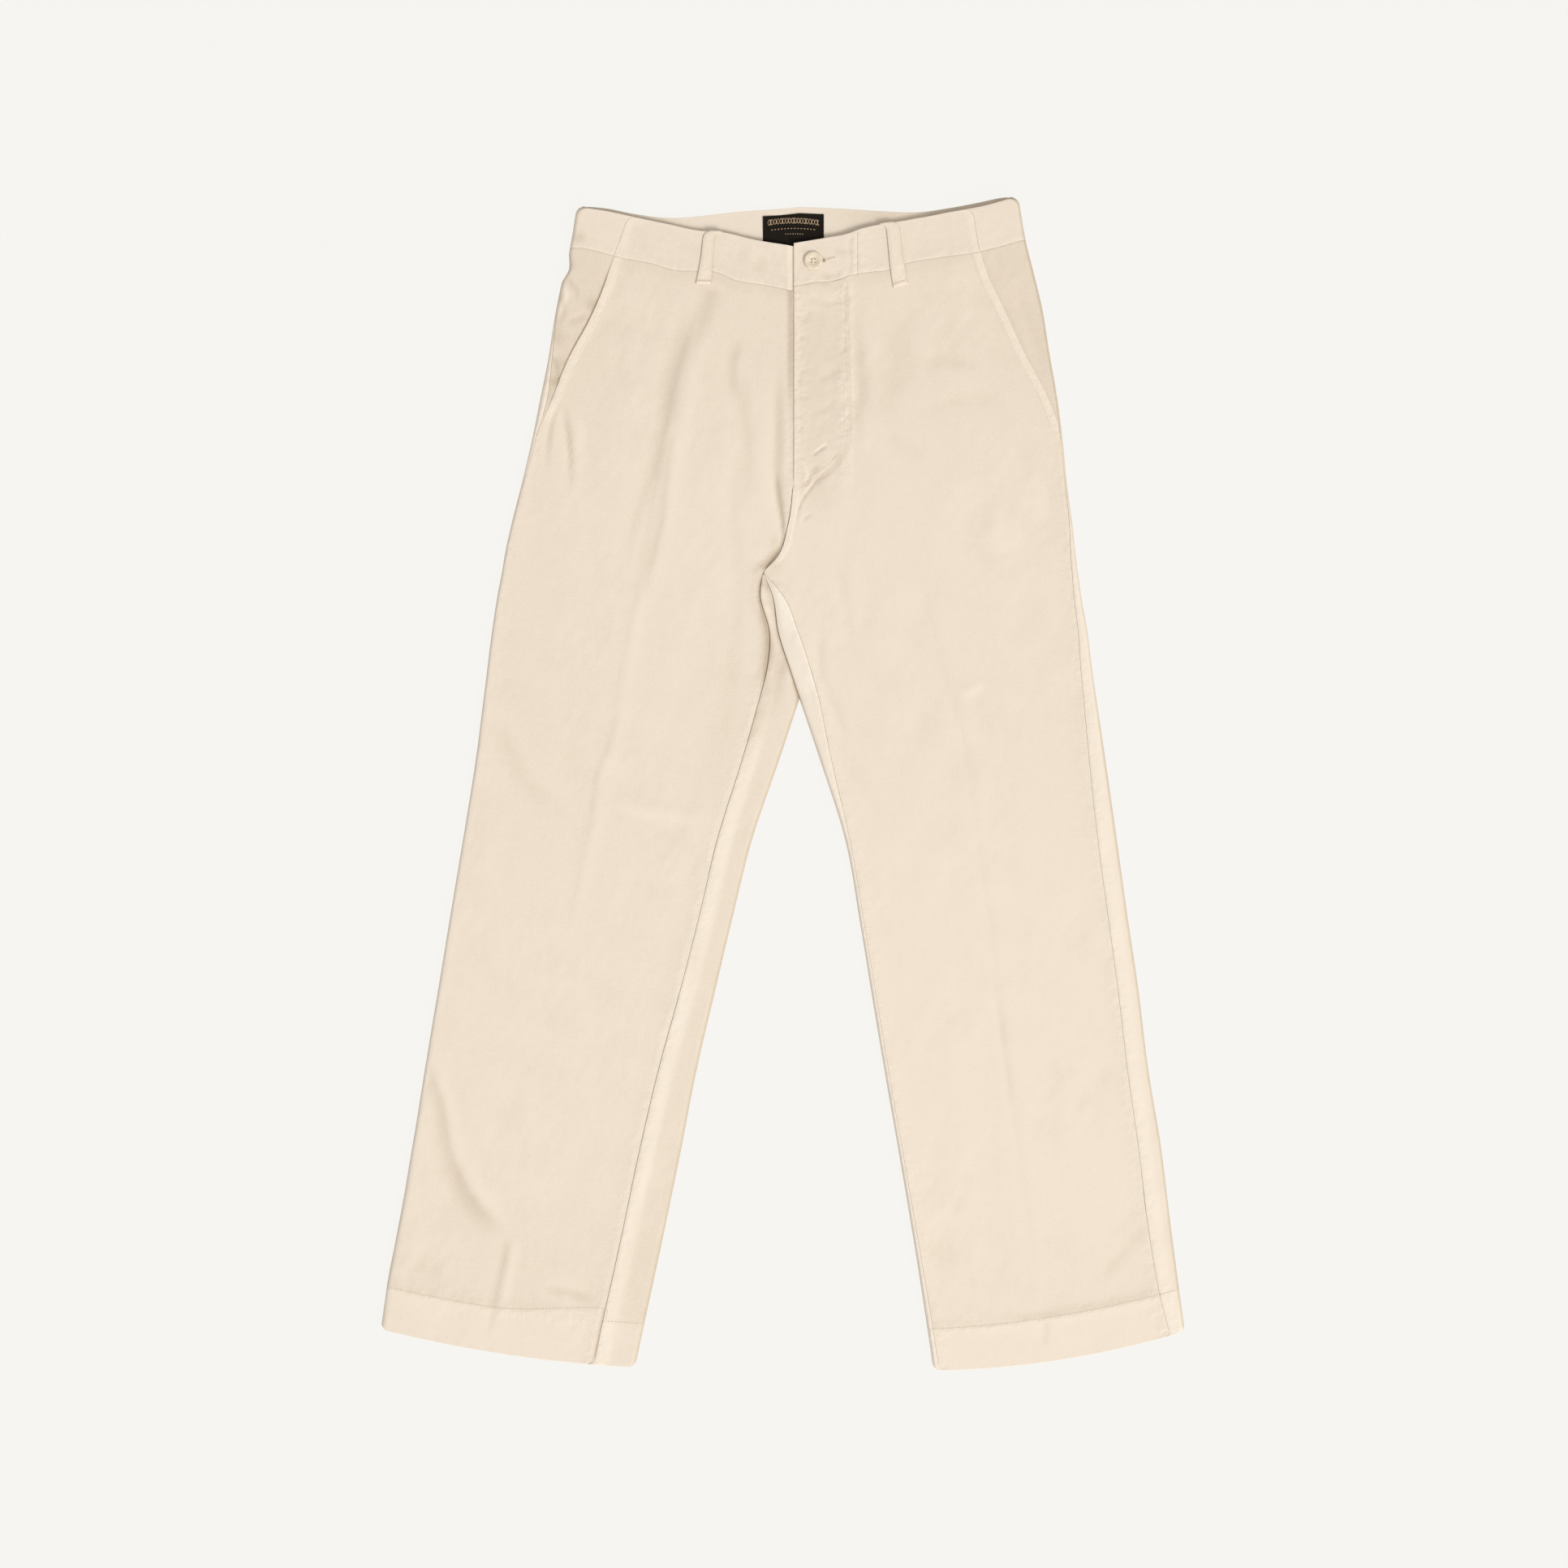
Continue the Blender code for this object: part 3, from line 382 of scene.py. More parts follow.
# Creases, in the tables' millimetres. Each has a height (below zero for a trough), its
# widths on the +X or +Y side of the line and on the other side, as the line runs down the
# leg, how it fades in and out, a painted shade (below zero darker, above zero a painted highlight), and the
# line's places.
creases = {
    "frontRight": [
        # beside the pressed crease, and the fold that turns into the outseam
        (-0.25, 2.6, 3.2, 0.3, 0.3, -0.07, (-148, 98), (-151, 84), (-162, 34), (-171, 12), (-178, -37),
         (-183, -66)),
        (-0.6, 4, 13, 0.15, 0.3, -0.13, (-330, -252), (-316, -299), (-309, -340), (-297, -369), (-281, -392),
         (-250, -419)),
        (0.32, 8, 5, 0.2, 0.3, 0, (-323, -250), (-310, -296), (-301, -334), (-288, -362), (-272, -384),
         (-249, -408)),
        (-0.3, 8, 20, 0.25, 0.35, -0.12, (-307, -335), (-294, -372), (-279, -398), (-264, -420)),
        (-0.42, 2.6, 5.5, 0.12, 0.3, -0.08, (-255, -416), (-257, -432), (-263, -460), (-268, -488),
         (-276, -520)),
        (0.4, 5, 4, 0.2, 0.3, 0, (-249, -416), (-251, -436), (-257, -462), (-262, -488)),
        # hanging from the belt loop
        (-0.5, 8, 11, 0.05, 0.4, -0.2, (-64, 462), (-78, 423), (-96, 384), (-104, 335), (-114, 275)),
        (-0.3, 7, 8, 0.25, 0.35, 0, (-92, 455), (-97, 420), (-108, 380), (-114, 330)),
        (-0.32, 5, 8, 0.3, 0.5, -0.08, (-110, 335), (-117, 305), (-130, 265), (-139, 237), (-147, 200),
         (-150, 180)),
        (-0.5, 3.4, 10, 0.3, 0.35, -0.2, (-101, 335), (-106, 305), (-113, 246), (-125, 195), (-134, 160)),
        (-0.5, 5, 7, 0.3, 0.4, -0.12, (-40, 416), (-47, 389), (-45, 350)),
        (-0.4, 7, 9, 0.25, 0.35, -0.05, (-37, 393), (-38, 365), (-34, 305), (-36, 245)),
        (-0.35, 8, 8, 0.25, 0.35, 0, (-45, 330), (-47, 260), (-44, 190), (-46, 120), (-60, 20)),
        # beside the fly
        (-0.75, 6, 5, 0.4, 0.2, -0.17, (-4, 400), (-5, 350), (-5, 320), (-6, 290), (-4, 266), (-1, 245),
         (-1, 228)),
        (-0.7, 1.6, 2.6, 0.15, 0.02, -0.45, (-7, 290), (-4, 264), (-1, 241), (-1, 226), (-5, 216), (-11, 207),
         (-17, 199)),
        (-0.6, 5, 5, 0.4, 0.05, -0.4, (-3, 222), (-9, 214), (-15, 206), (-21, 199)),
        # where the leg meets the floor, below the crotch
        (0.15, 14, 14, 0.3, 0.4, -0.13, (-46, 160), (-52, 90), (-62, 30), (-82, -40)),
        # pocket corner
        (-0.8, 1.7, 3.4, 0.45, 0.5, -0.17, (-205, 360), (-201, 340), (-197, 310), (-197, 262)),
        (-0.6, 1.8, 3.4, 0.45, 0.5, -0.13, (-206, 358), (-213, 338), (-217, 312), (-217, 285)),
        (0.3, 5, 4, 0.3, 0.5, 0, (-193, 350), (-189, 325), (-191, 290)),
        # long diagonals
        (-0.45, 9, 12, 0.2, 0.5, 0, (-273, 75), (-258, 40), (-244, 11), (-213, -18), (-190, -32)),
        (0.4, 7, 6, 0.25, 0.35, 0, (-166, -14), (-138, -23), (-100, -30), (-67, -35)),
        (-0.25, 14, 14, 0.3, 0.5, 0, (-300, -120), (-270, -170), (-225, -205)),
        (-0.25, 16, 16, 0.3, 0.4, 0, (-150, -300), (-190, -360), (-215, -430)),
        # hem
        (-0.5, 4.5, 4, 0.3, 0.3, -0.05, (-226, -466), (-214, -467), (-200, -468), (-186, -473), (-172, -472)),
    ],
    "frontLeft": [
        # pressed crease
        (-0.16, 3.6, 3.6, 0.25, 0.2, -0.03, (108, 253), (136, 153), (151, 96), (169, 33), (178, -32),
         (190, -124), (200, -210), (211, -295), (229, -423), (240, -488)),
        (-0.18, 3, 3.4, 0.4, 0.2, -0.04, (196, -170), (202, -225), (209, -280), (211, -300)),
        (-0.2, 9, 9, 0.3, 0.3, -0.08, (306, -254), (286, -280), (262, -306)),
        # fly: a broad painted shade, and wrinkles pulled in by the stitching
        (0, 24, 24, 0.15, 0.2, -0.13, (32, 455), (32, 400), (32, 340), (30, 250)),
        (-0.25, 2.6, 2.6, 0.02, 0.02, -0.07, (56, 462), (57, 420), (58, 370), (59, 337), (56, 311), (46, 294),
         (30, 282), (13, 276)),
        (-0.3, 7, 9, 0.3, 0.4, 0, (80, 395), (76, 375), (69, 356), (67, 327), (64, 290)),
        (-0.4, 6, 7, 0.3, 0.4, -0.1, (68, 440), (70, 400), (72, 360), (68, 325)),
        (-0.55, 0.9, 1.4, 0.3, 0.3, -0.25, (25, 302), (32, 308), (40, 313)),
        (0.3, 1.6, 1.2, 0.3, 0.3, 0.12, (27, 306), (34, 312), (41, 317)),
        (-0.4, 0.9, 1.3, 0.4, 0.4, -0.1, (43, 298), (47, 303), (53, 309)),
        (-0.45, 3.2, 3.2, 0.4, 0.4, -0.1, (24, 285), (28, 290), (32, 298)),
        (-0.6, 1.3, 2, 0.2, 0.6, -0.26, (16, 258), (20, 268), (26, 276), (38, 288), (45, 297)),
        (0.4, 1.6, 1.6, 0.3, 0.4, 0.15, (18, 266), (23, 275), (31, 284)),
        (-0.3, 1.2, 1.6, 0.4, 0.5, -0.1, (27, 272), (36, 282), (46, 291)),
        (-0.4, 1.1, 1.5, 0.4, 0.4, -0.14, (20, 276), (23, 283), (27, 288)),
        (-0.4, 1, 1.4, 0.4, 0.4, -0.14, (13, 250), (15, 258), (18, 267)),
        (-0.3, 1, 1.3, 0.4, 0.4, -0.1, (10, 238), (12, 248), (14, 262)),
        (-0.4, 1.2, 1.6, 0.4, 0.4, -0.14, (16, 242), (21, 247), (28, 250)),
        (0.3, 2, 2, 0.3, 0.3, 0.1, (16, 300), (20, 290), (21, 278)),
        (-0.2, 16, 18, 0.3, 0.4, -0.08, (18, 300), (30, 270), (34, 240)),
        (-0.4, 1.4, 1.8, 0.2, 0.7, -0.05, (12, 325), (16, 329), (21, 330)),
        (-0.3, 1.3, 1.8, 0.2, 0.7, -0.04, (12, 338), (19, 341)),
        (-0.35, 1.5, 2.2, 0.2, 0.7, -0.04, (12, 354), (17, 357), (27, 355)),
        (-0.35, 1.7, 1.6, 0.2, 0.7, -0.05, (12, 372), (20, 375)),
        (-0.3, 1.4, 2.4, 0.2, 0.7, -0.03, (12, 381), (17, 382), (30, 387)),
        (-0.35, 1.8, 1.6, 0.2, 0.7, -0.05, (12, 402), (18, 403)),
        (-0.25, 1.6, 2.2, 0.2, 0.7, -0.03, (12, 411), (19, 413), (29, 419)),
        (-0.35, 4, 4, 0.3, 0.4, 0, (30, 372), (42, 377), (52, 386)),
        (-0.35, 3.5, 3.5, 0.3, 0.4, 0, (28, 342), (38, 346), (48, 356)),
        (-0.55, 3, 3, 0.15, 0.3, 0, (12, 462), (20, 464), (30, 465), (45, 461)),
        (-0.4, 4, 4, 0.3, 0.3, 0, (14, 446), (26, 448), (38, 444), (56, 448), (70, 455)),
        (-0.35, 3, 3, 0.2, 0.4, 0, (12, 424), (20, 430), (26, 440)),
        # hip
        (-0.25, 14, 15, 0.3, 0.4, -0.09, (127, 420), (110, 385), (92, 355), (76, 327)),
        (-0.15, 9, 11, 0.3, 0.3, 0, (97, 386), (104, 410), (110, 426), (127, 447)),
        (-0.45, 8, 7, 0.3, 0.3, 0, (123, 382), (145, 392), (160, 390), (185, 384)),
        (-0.3, 9, 9, 0.3, 0.3, 0, (120, 340), (150, 352), (186, 356), (215, 350)),
        (-0.3, 9, 9, 0.3, 0.3, 0, (90, 330), (112, 312), (140, 306)),
        (-0.3, 12, 12, 0.3, 0.4, 0, (228, 330), (218, 290), (190, 250)),
        (-0.35, 10, 10, 0.3, 0.4, 0, (245, 300), (250, 250), (252, 200)),
        # from the crotch down the inner leg
        (-0.6, 5, 6, 0.25, 0.4, 0, (33, 152), (33, 125), (34, 106), (42, 84), (50, 65), (60, 30)),
        (-0.35, 7, 8, 0.3, 0.4, 0, (50, 220), (56, 180), (58, 150), (64, 110)),
        (-0.4, 9, 9, 0.25, 0.5, 0, (33, 61), (47, 40), (62, 18), (80, -14), (98, -46)),
        (0.6, 4, 4, 0.3, 0.3, 0, (161, 81), (173, 88), (186, 94)),
        (-0.25, 12, 12, 0.3, 0.4, 0, (205, 120), (225, 150), (240, 200)),
        # lower leg and hem
        (-0.3, 6, 7, 0.3, 0.4, -0.08, (338, -396), (328, -414), (312, -434), (295, -453), (280, -463)),
        (-0.3, 10, 10, 0.3, 0.5, 0, (342, -355), (329, -385), (306, -418), (270, -440)),
        (-0.2, 16, 16, 0.3, 0.4, 0, (150, -330), (185, -380), (230, -400)),
        (-0.35, 2.5, 3.5, 0.2, 0.3, -0.1, (238, -490), (242, -501), (241, -520)),
    ],
    "backRight": [
        (-0.8, 6, 7, 0.2, 0.5, 0, (-14, 182), (-9, 160), (-3, 140), (-2, 110), (-8, 80), (-20, 45)),
        (-0.2, 7, 7, 0.3, 0.3, 0, (-62, -60), (-80, -140), (-98, -215)),
    ],
    "facingRight": [
        (-0.4, 2.2, 3, 0.3, 0.5, -0.1, (-200, 472), (-197, 464), (-192, 457), (-190, 444)),
        (0.5, 3, 3, 0.2, 0.4, 0.12, (-207, 462), (-201, 454), (-205, 444), (-210, 428)),
        (-0.5, 3, 4, 0.3, 0.4, -0.1, (-213, 462), (-204, 440), (-212, 415)),
        (-0.4, 3, 4, 0.3, 0.4, -0.08, (-202, 426), (-190, 430), (-180, 438)),
        (-0.5, 2.5, 3.5, 0.3, 0.4, -0.15, (-216, 400), (-209, 380), (-212, 362)),
    ],
    "facingLeft": [
        (-0.4, 6, 6, 0.3, 0.4, 0, (214, 470), (222, 440), (234, 405), (243, 370)),
    ],
    "bandRight": [
        (-0.25, 8, 8, 0.3, 0.3, 0, (-140, 520), (-135, 505), (-137, 490)),
        (-0.25, 6, 6, 0.3, 0.3, 0, (-105, 500), (-85, 496), (-60, 492)),
        (-0.2, 8, 9, 0.3, 0.4, 0, (-46, 498), (-34, 484), (-14, 474)),
        (-0.2, 5, 7, 0.3, 0.4, -0.05, (-18, 466), (-21, 477), (-16, 492)),
    ],
    "bandLeft": [
        (-0.25, 7, 7, 0.3, 0.3, 0, (120, 512), (126, 495), (122, 480)),
        (-0.5, 3, 4, 0.3, 0.3, -0.08, (30, 473), (42, 469), (56, 473)),
        (-0.4, 3, 4, 0.3, 0.3, -0.06, (44, 496), (54, 492), (66, 495)),
        (-0.4, 3, 3, 0.3, 0.3, -0.06, (40, 463), (52, 465), (64, 470)),
        (-0.2, 2, 2, 0.1, 0.1, -0.05, (60, 506), (61, 490), (60, 474)),
        (-0.2, 4, 4, 0.2, 0.2, -0.04, (14, 500), (18, 488), (16, 474)),
        (-0.25, 8, 8, 0.3, 0.3, 0, (190, 522), (186, 505), (192, 490)),
    ],
}
# the two parts of the pressed crease are slopes, steep on one side
pressed = {
    "frontRight": [
        (0.75, 14, 8, 0.15, 0.5, 0, (-74, 446), (-99, 360), (-106, 324), (-116, 262), (-128, 200),
         (-137, 160)),
        (0.34, 9, 3.6, 0.2, 0.3, 0, (-120, 235), (-128, 195), (-139, 150), (-150, 88), (-162, 36), (-171, 12),
         (-178, -37), (-186, -80), (-196, -125), (-209, -165)),
    ],
}
# painted shade in the hollows round the crotch and beside the right pocket: (x, y, radius, how dark)
paintedHollowShade = [(-23, 198, 7, 0.4), (-9, 203, 7, 0.4), (-13, 183, 7, 0.45), (-16, 167, 6, 0.4),
           (-17, 153, 5, 0.25), (-3, 138, 5, 0.25), (14, 77, 4, 0.5), (-8, 223, 5, 0.3),
           (-213, 372, 7, 0.5), (-214, 357, 6, 0.3), (-206, 388, 7, 0.35), (-209, 412, 7, 0.3),
           (-200, 480, 7, 0.4), (-177, 443, 6, 0.4), (-189, 504, 6, 0.4)]


def creaseHeight(x, y, line, plus, minus, fadeIn, fadeOut, slope):
    # from nothing to one beside a line, over the places of a grid
    line = smoothLine(line)
    reach = 2.6 * max(plus, minus)
    low, high = line.min(axis=0) - reach, line.max(axis=0) + reach
    near = (x > low[0]) & (x < high[0]) & (y > low[1]) & (y < high[1])
    height = np.zeros_like(x)
    if not near.any():
        return height
    px, py = x[near], y[near]
    best = np.full(px.shape, 1e9)
    side, share = np.zeros(px.shape), np.zeros(px.shape)
    for index, (start, end) in enumerate(zip(line, line[1:])):
        run = end - start
        t = np.clip(((px - start[0]) * run[0] + (py - start[1]) * run[1]) / (run @ run), 0.0, 1.0)
        awayX, awayY = px - start[0] - t * run[0], py - start[1] - t * run[1]
        distance = np.hypot(awayX, awayY)
        closer = distance < best
        best = np.where(closer, distance, best)
        side = np.where(closer, run[0] * awayY - run[1] * awayX, side)
        share = np.where(closer, (index + t) / (len(line) - 1), share)
    lean = best / np.where(side > 0.0, plus, minus)
    profile = np.exp(-lean**2)
    if slope:
        profile = np.where(side > 0.0, (1.0 + lean) * np.exp(-lean**1.5), np.exp(-(2.2 * lean)**2))
    height[near] = profile * smoothStep(0.0, fadeIn, share) * smoothStep(0.0, fadeOut, 1.0 - share)
    return height


def waves(x, y, length, seed, stretch=1.0):
    # an even mixture of random waves of about one length, longer down the leg by "stretch"
    chance = np.random.default_rng(seed)
    angles, phases, scales = (chance.uniform(0, math.pi, 16), chance.uniform(0, math.tau, 16),
                              chance.uniform(0.7, 1.5, 16))
    total = np.zeros_like(x)
    for angle, phase, scale in zip(angles, phases, scales):
        place = x * math.cos(angle) + y * math.sin(angle) / stretch
        total += np.sin(math.tau * place / (length * scale) + phase)
    return total / math.sqrt(8.0)


def reliefOf(piece, x, y, facing):
    # height added to the cloth, over the parts that face up, and the painted shade along creases
    patch = 0.65 + 0.35 * waves(x, y, 140.0, 21)
    height = patch * (0.12 * waves(x, y, 46.0, 5, 1.2) + 0.04 * waves(x, y, 19.0, 9)
                      + 0.018 * waves(x, y, 8.0, 13))
    shade = np.zeros_like(x)
    for rows, slope in ((creases.get(piece, ()), False), (pressed.get(piece, ()), True)):
        for tall, plus, minus, fadeIn, fadeOut, darker, *line in rows:
            added = creaseHeight(x, y, line, plus, minus, fadeIn, fadeOut, slope)
            height, shade = height + 1.2 * tall * added, shade + darker * added
    return height * np.clip(facing, 0.0, 1.0)**2, shade


def meshObject(name, bm, material=None):
    # a new object from a bmesh
    mesh = bpy.data.meshes.new(name)
    bm.to_mesh(mesh)
    bm.free()
    mesh.shade_smooth()
    if material:
        mesh.materials.append(material)
    piece = bpy.data.objects.new(name, mesh)
    bpy.context.scene.collection.objects.link(piece)
    return piece


def place(piece, slot, node=None):
    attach(piece, "root")
    if node:
        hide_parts(node)
    return piece


def gridFrom(x, y, z, u, v, tone, pucker):
    # the places of one sheet, and what its material reads there
    values = {"x": x, "y": y, "z": z, "u": u, "v": v, "tone": tone, "pucker": pucker}
    return {name: np.broadcast_to(value, x.shape) for name, value in values.items()}


def joined(right, left):
    # two halves that meet at the last column of each
    return {name: np.concatenate([right[name], left[name][:, -2::-1]], axis=1) for name in right}


def sheetObject(name, grids, flipped, material, wall=cloth["wall"], bevel=0.0):
    # one sheet of cloth from grids of places: each is made flat, then laid on its places
    bm = bmesh.new()
    weave = bm.verts.layers.float_vector.new("weave")
    tone = bm.verts.layers.float.new("tone")
    pucker = bm.verts.layers.float.new("pucker")
    for grid in grids:
        if flipped:
            grid = {key: values[::-1] for key, values in grid.items()}
        rows, columns = grid["x"].shape
        made = bmesh.ops.create_grid(bm, x_segments=columns - 1, y_segments=rows - 1, size=0.5)
        for vert in made["verts"]:
            at = (round((vert.co.y + 0.5) * (rows - 1)), round((vert.co.x + 0.5) * (columns - 1)))
            vert.co = ((grid["x"][at] + middleX) * mm, grid["y"][at] * mm, grid["z"][at] * mm)
            vert[weave] = (grid["u"][at] * mm, grid["v"][at] * mm, 0.0)
            vert[tone] = grid["tone"][at]
            vert[pucker] = grid["pucker"][at]
    if len(grids) > 1:
        bmesh.ops.remove_doubles(bm, verts=bm.verts[:], dist=0.00001)
    piece = meshObject(name, bm, material)
    thick = piece.modifiers.new("wall", "SOLIDIFY")
    thick.thickness = wall * mm
    thick.offset = -1.0
    if bevel:
        edge = piece.modifiers.new("soft edges", "BEVEL")
        edge.width = bevel * mm
        edge.segments = 3
        edge.limit_method = "ANGLE"
        edge.angle_limit = math.radians(50)
    return piece


def blurred(values, times):
    # a grid averaged with its neighbours, over and over
    for _ in range(times):
        padded = np.pad(values, 1, mode="edge")
        values = (padded[:-2, 1:-1] + padded[2:, 1:-1] + padded[1:-1, :-2] + padded[1:-1, 2:]
                  + 2.0 * values) / 6.0
    return values


# shifts of the cloth's tone, used in toneOf
toneShifts = {
    "ridge": 0.45,       # lighter along the ridges and darker in the hollows of the relief: partly wear, partly painted light and shade
    "deeper": 0.13,      # darker towards the waist, and less so on the band
    "deeperOn": {"bandBack": 0.0, "bandRight": 0.07, "bandLeft": 0.05},
    "leftLeg": 0.07,
    "rightLeg": 0.05,
    "hems": 0.07,
}


def toneOf(piece, section, along, x, y, facing, relief):
    # how light or dark the cloth is at each place
    tone = np.clip(toneShifts["ridge"] * (relief - blurred(relief, 24)), -0.25, 0.2)
    # painted shade along the folds' rounded edges, stronger on the side the sun lights; on the other side
    # painted light eases the shading just in from the edge
    lit = along > widthOf(section) / 2 if section["side"] == "right" else along < 60.0
    rim = (1.0 - np.clip(facing, 0.0, 1.0)) * (facing > -0.5)
    paintedRimLight = 0.75 * rim / (rim + 0.02) * bell(rim, 0.0, 0.25) * smoothStep(330.0, 230.0, y)
    tone -= np.where(lit, 1.1 * rim / (rim + 0.15), 0.5 * rim**1.5 - paintedRimLight)
    tone -= toneShifts["deeperOn"].get(piece, toneShifts["deeper"]) * smoothStep(230.0, 440.0, y)
    tone += toneShifts["leftLeg"] * smoothStep(0.0, 60.0, x) * smoothStep(60.0, -120.0, y)
    tone -= toneShifts["rightLeg"] * smoothStep(-110.0, -230.0, x) * smoothStep(-110.0, 0.0, y)
    tone -= toneShifts["hems"] * smoothStep(-370.0, -450.0, y)
    # painted shade in the hollows
    for spotX, spotY, reach, darker in paintedHollowShade:
        tone -= darker * np.exp(-((x - spotX)**2 + (y - spotY)**2) / reach**2) * (facing > 0.0)
    return tone


def gridOf(piece, section, along, under, depth, beyond, u, v, tone, pucker, raised=0.0):
    # a grid laid on a leg, with the piece's own creases
    x, y, z, facing = legPoints(section, along, under, depth, beyond)
    relief, shade = reliefOf(piece, x, y, facing)
    height = (relief + raised) * (facing > 0.0)
    lowered = 0.10 * (1.0 - waves(x, y, 60.0, 3)) * (facing < -0.9)
    z = z + height * np.exp(-np.maximum(depth - 2.0, 0.0)) + lowered
    tone = tone + shade + toneOf(piece, section, along, x, y, facing, relief)
    return gridFrom(x, y, z, u, v, tone, pucker)


panelCount = 392       # rows of a front or a back
hem = {
    "length": 38.0,
    "proud": 0.25,      # its two layers stand out by this much
    "groove": 0.022,    # half width of the stitched groove, in rows
}


def panelRows(side):
    # rows of a panel down to its foot, closer together at the seams and the hem
    focus = [(waistSeam, 30.0, 1.0), (3.2, 130.0, 0.45), (6.6, 45.0, 1.6), (crotch, 60.0, 0.3),
             (hemTop, 12.0, 1.6), (lastRow, 8.0, 1.6)]
    return spreadRows(side, waistSeam + 0.01, lastRow - cloth["roll"] / hem["length"], panelCount, focus)


def withTurnings(rows):
    # adds the top edge, which dips under the waistband, then the fold at the foot and the
    # turning inside it: rows, depths, and how far each place lies beyond its row
    radius = cloth["roll"]
    bends = np.linspace(0.0, math.pi, 7)[1:]
    up = np.linspace(0.0, 0.95, 6)[1:]
    flat = np.zeros(len(rows))
    depth = np.concatenate([[0.3, 0.12, 0.03], flat, radius * (1.0 - np.cos(bends)), 0.0 * up + 2.0 * radius])
    beyond = np.concatenate([np.zeros(3), flat, radius * np.sin(bends), 0.0 * up])
    rows = np.concatenate([rows[0] - np.array([0.0085, 0.006, 0.003]), rows, 0.0 * bends + rows[-1],
                           rows[-1] - up])
    return rows, depth[:, None], beyond[:, None]


def lengthDown(section):
    outer = np.concatenate([section["outerX"], section["outerY"]], axis=1)
    return wayAlong(outer)[:, None]


print("trousers: materials")


def fill(tree, node, values):
    # gives a node's inputs their values, or links them to other nodes' outputs
    for name, value in values.items():
        if isinstance(value, bpy.types.NodeSocket):
            tree.links.new(value, node.inputs[name])
        else:
            node.inputs[name].default_value = value
    return node


def newNode(tree, kind, values=()):
    return fill(tree, tree.nodes.new("ShaderNode" + kind), dict(values))


def newMaterial(name):
    material = bpy.data.materials.new(name)
    material.use_nodes = True
    tree = material.node_tree
    return material, tree, tree.nodes["Principled BSDF"]


def colourRamp(tree, factor, stops):
    ramp = newNode(tree, "ValToRGB", {"Fac": factor})
    elements = ramp.color_ramp.elements
    elements[0].position, elements[1].position = stops[0][0], stops[-1][0]
    for position, colour in stops[1:-1]:
        elements.new(position)
    for element, (position, colour) in zip(elements, stops):
        element.color = (*colour, 1.0)
    return ramp.outputs["Color"]


def twillMaterial(name, look):
    material, tree, shader = newMaterial(name)
    weave, tone, pucker = (newNode(tree, "Attribute") for _ in range(3))
    weave.attribute_name, tone.attribute_name, pucker.attribute_name = "weave", "tone", "pucker"
    threads = weave.outputs["Vector"]

    def noise(scale, detail, vector=threads, roughness=0.5):
        return newNode(tree, "TexNoise", {"Vector": vector, "Scale": scale, "Detail": detail,
                                          "Roughness": roughness}).outputs["Fac"]

    def spread(source, low, high, toLow, toHigh):
        made = newNode(tree, "MapRange", {"Value": source, "From Min": low, "From Max": high,
                                          "To Min": toLow, "To Max": toHigh})
        made.clamp = False
        return made.outputs["Result"]

    def combined(a, b, operation="ADD"):
        made = newNode(tree, "Math", {0: a, 1: b})
        made.operation = operation
        return made.outputs["Value"]

    def bump(height, strength, distance, normal=()):
        return newNode(tree, "Bump", {"Height": height, "Strength": strength, "Distance": distance,
                                      **dict(normal)}).outputs["Normal"]

    # diagonal ribs of the twill and the warp threads
    turned = newNode(tree, "Mapping", {"Vector": threads,
                                       "Rotation": (0.0, 0.0, math.radians(look["ribAngle"]))})
    ribs = newNode(tree, "TexWave", {"Vector": turned.outputs["Vector"], "Scale": 0.314 / look["ribPitch"],
                                     "Distortion": 1.2, "Detail": 1.0, "Detail Scale": 0.6}).outputs["Fac"]
    warp = newNode(tree, "TexWave", {"Vector": threads, "Scale": 0.314 / look["threadPitch"],
                                     "Distortion": 0.6}).outputs["Fac"]
    # soft mottling, slubs that run down the cloth, and a fine grain
    slubWay = newNode(tree, "Mapping", {"Vector": threads, "Scale": (1.0, 0.07, 1.0)})
    mottle = noise(look["mottleScale"], 4.0, roughness=0.6)
    slubs = noise(look["slubScale"], 3.0, slubWay.outputs["Vector"])
    amount = spread(tone.outputs["Fac"], 0.0, 1.0, 0.0, look["tone"])
    for source, low, part in ((mottle, 0.3, look["mottle"]), (slubs, 0.3, look["slub"]),
                              (noise(620.0, 2.0), 0.3, look["grain"]), (ribs, 0.0, look["rib"])):
        amount = combined(amount, spread(source, low, 1.0 - low, -part, part))
    shade = newNode(tree, "MapRange", {"Value": amount, "From Min": -0.5, "From Max": 0.5})
    colour = colourRamp(tree, shade.outputs["Result"],
                        [(0.0, look["dark"]), (0.5, look["base"]), (1.0, look["light"])])

    # relief: ribs, threads, fine wrinkles, and puckers beside the seams
    fine = bump(combined(spread(ribs, 0.0, 1.0, 0.0, 0.7), spread(warp, 0.0, 1.0, 0.0, 0.3)),
                look["weaveBump"], 0.0002)
    pulled = combined(noise(130.0, 3.0), pucker.outputs["Fac"], "MULTIPLY")
    fill(tree, shader, {
        "Base Color": colour, "Normal": bump(pulled, look["puckerBump"], 0.002, {"Normal": fine}),
        "Roughness": look["roughness"], "Specular IOR Level": look["gloss"],
        "Sheen Weight": look["sheen"], "Sheen Roughness": 0.55, "Sheen Tint": (1.0, 0.96, 0.9, 1.0)})
    return material


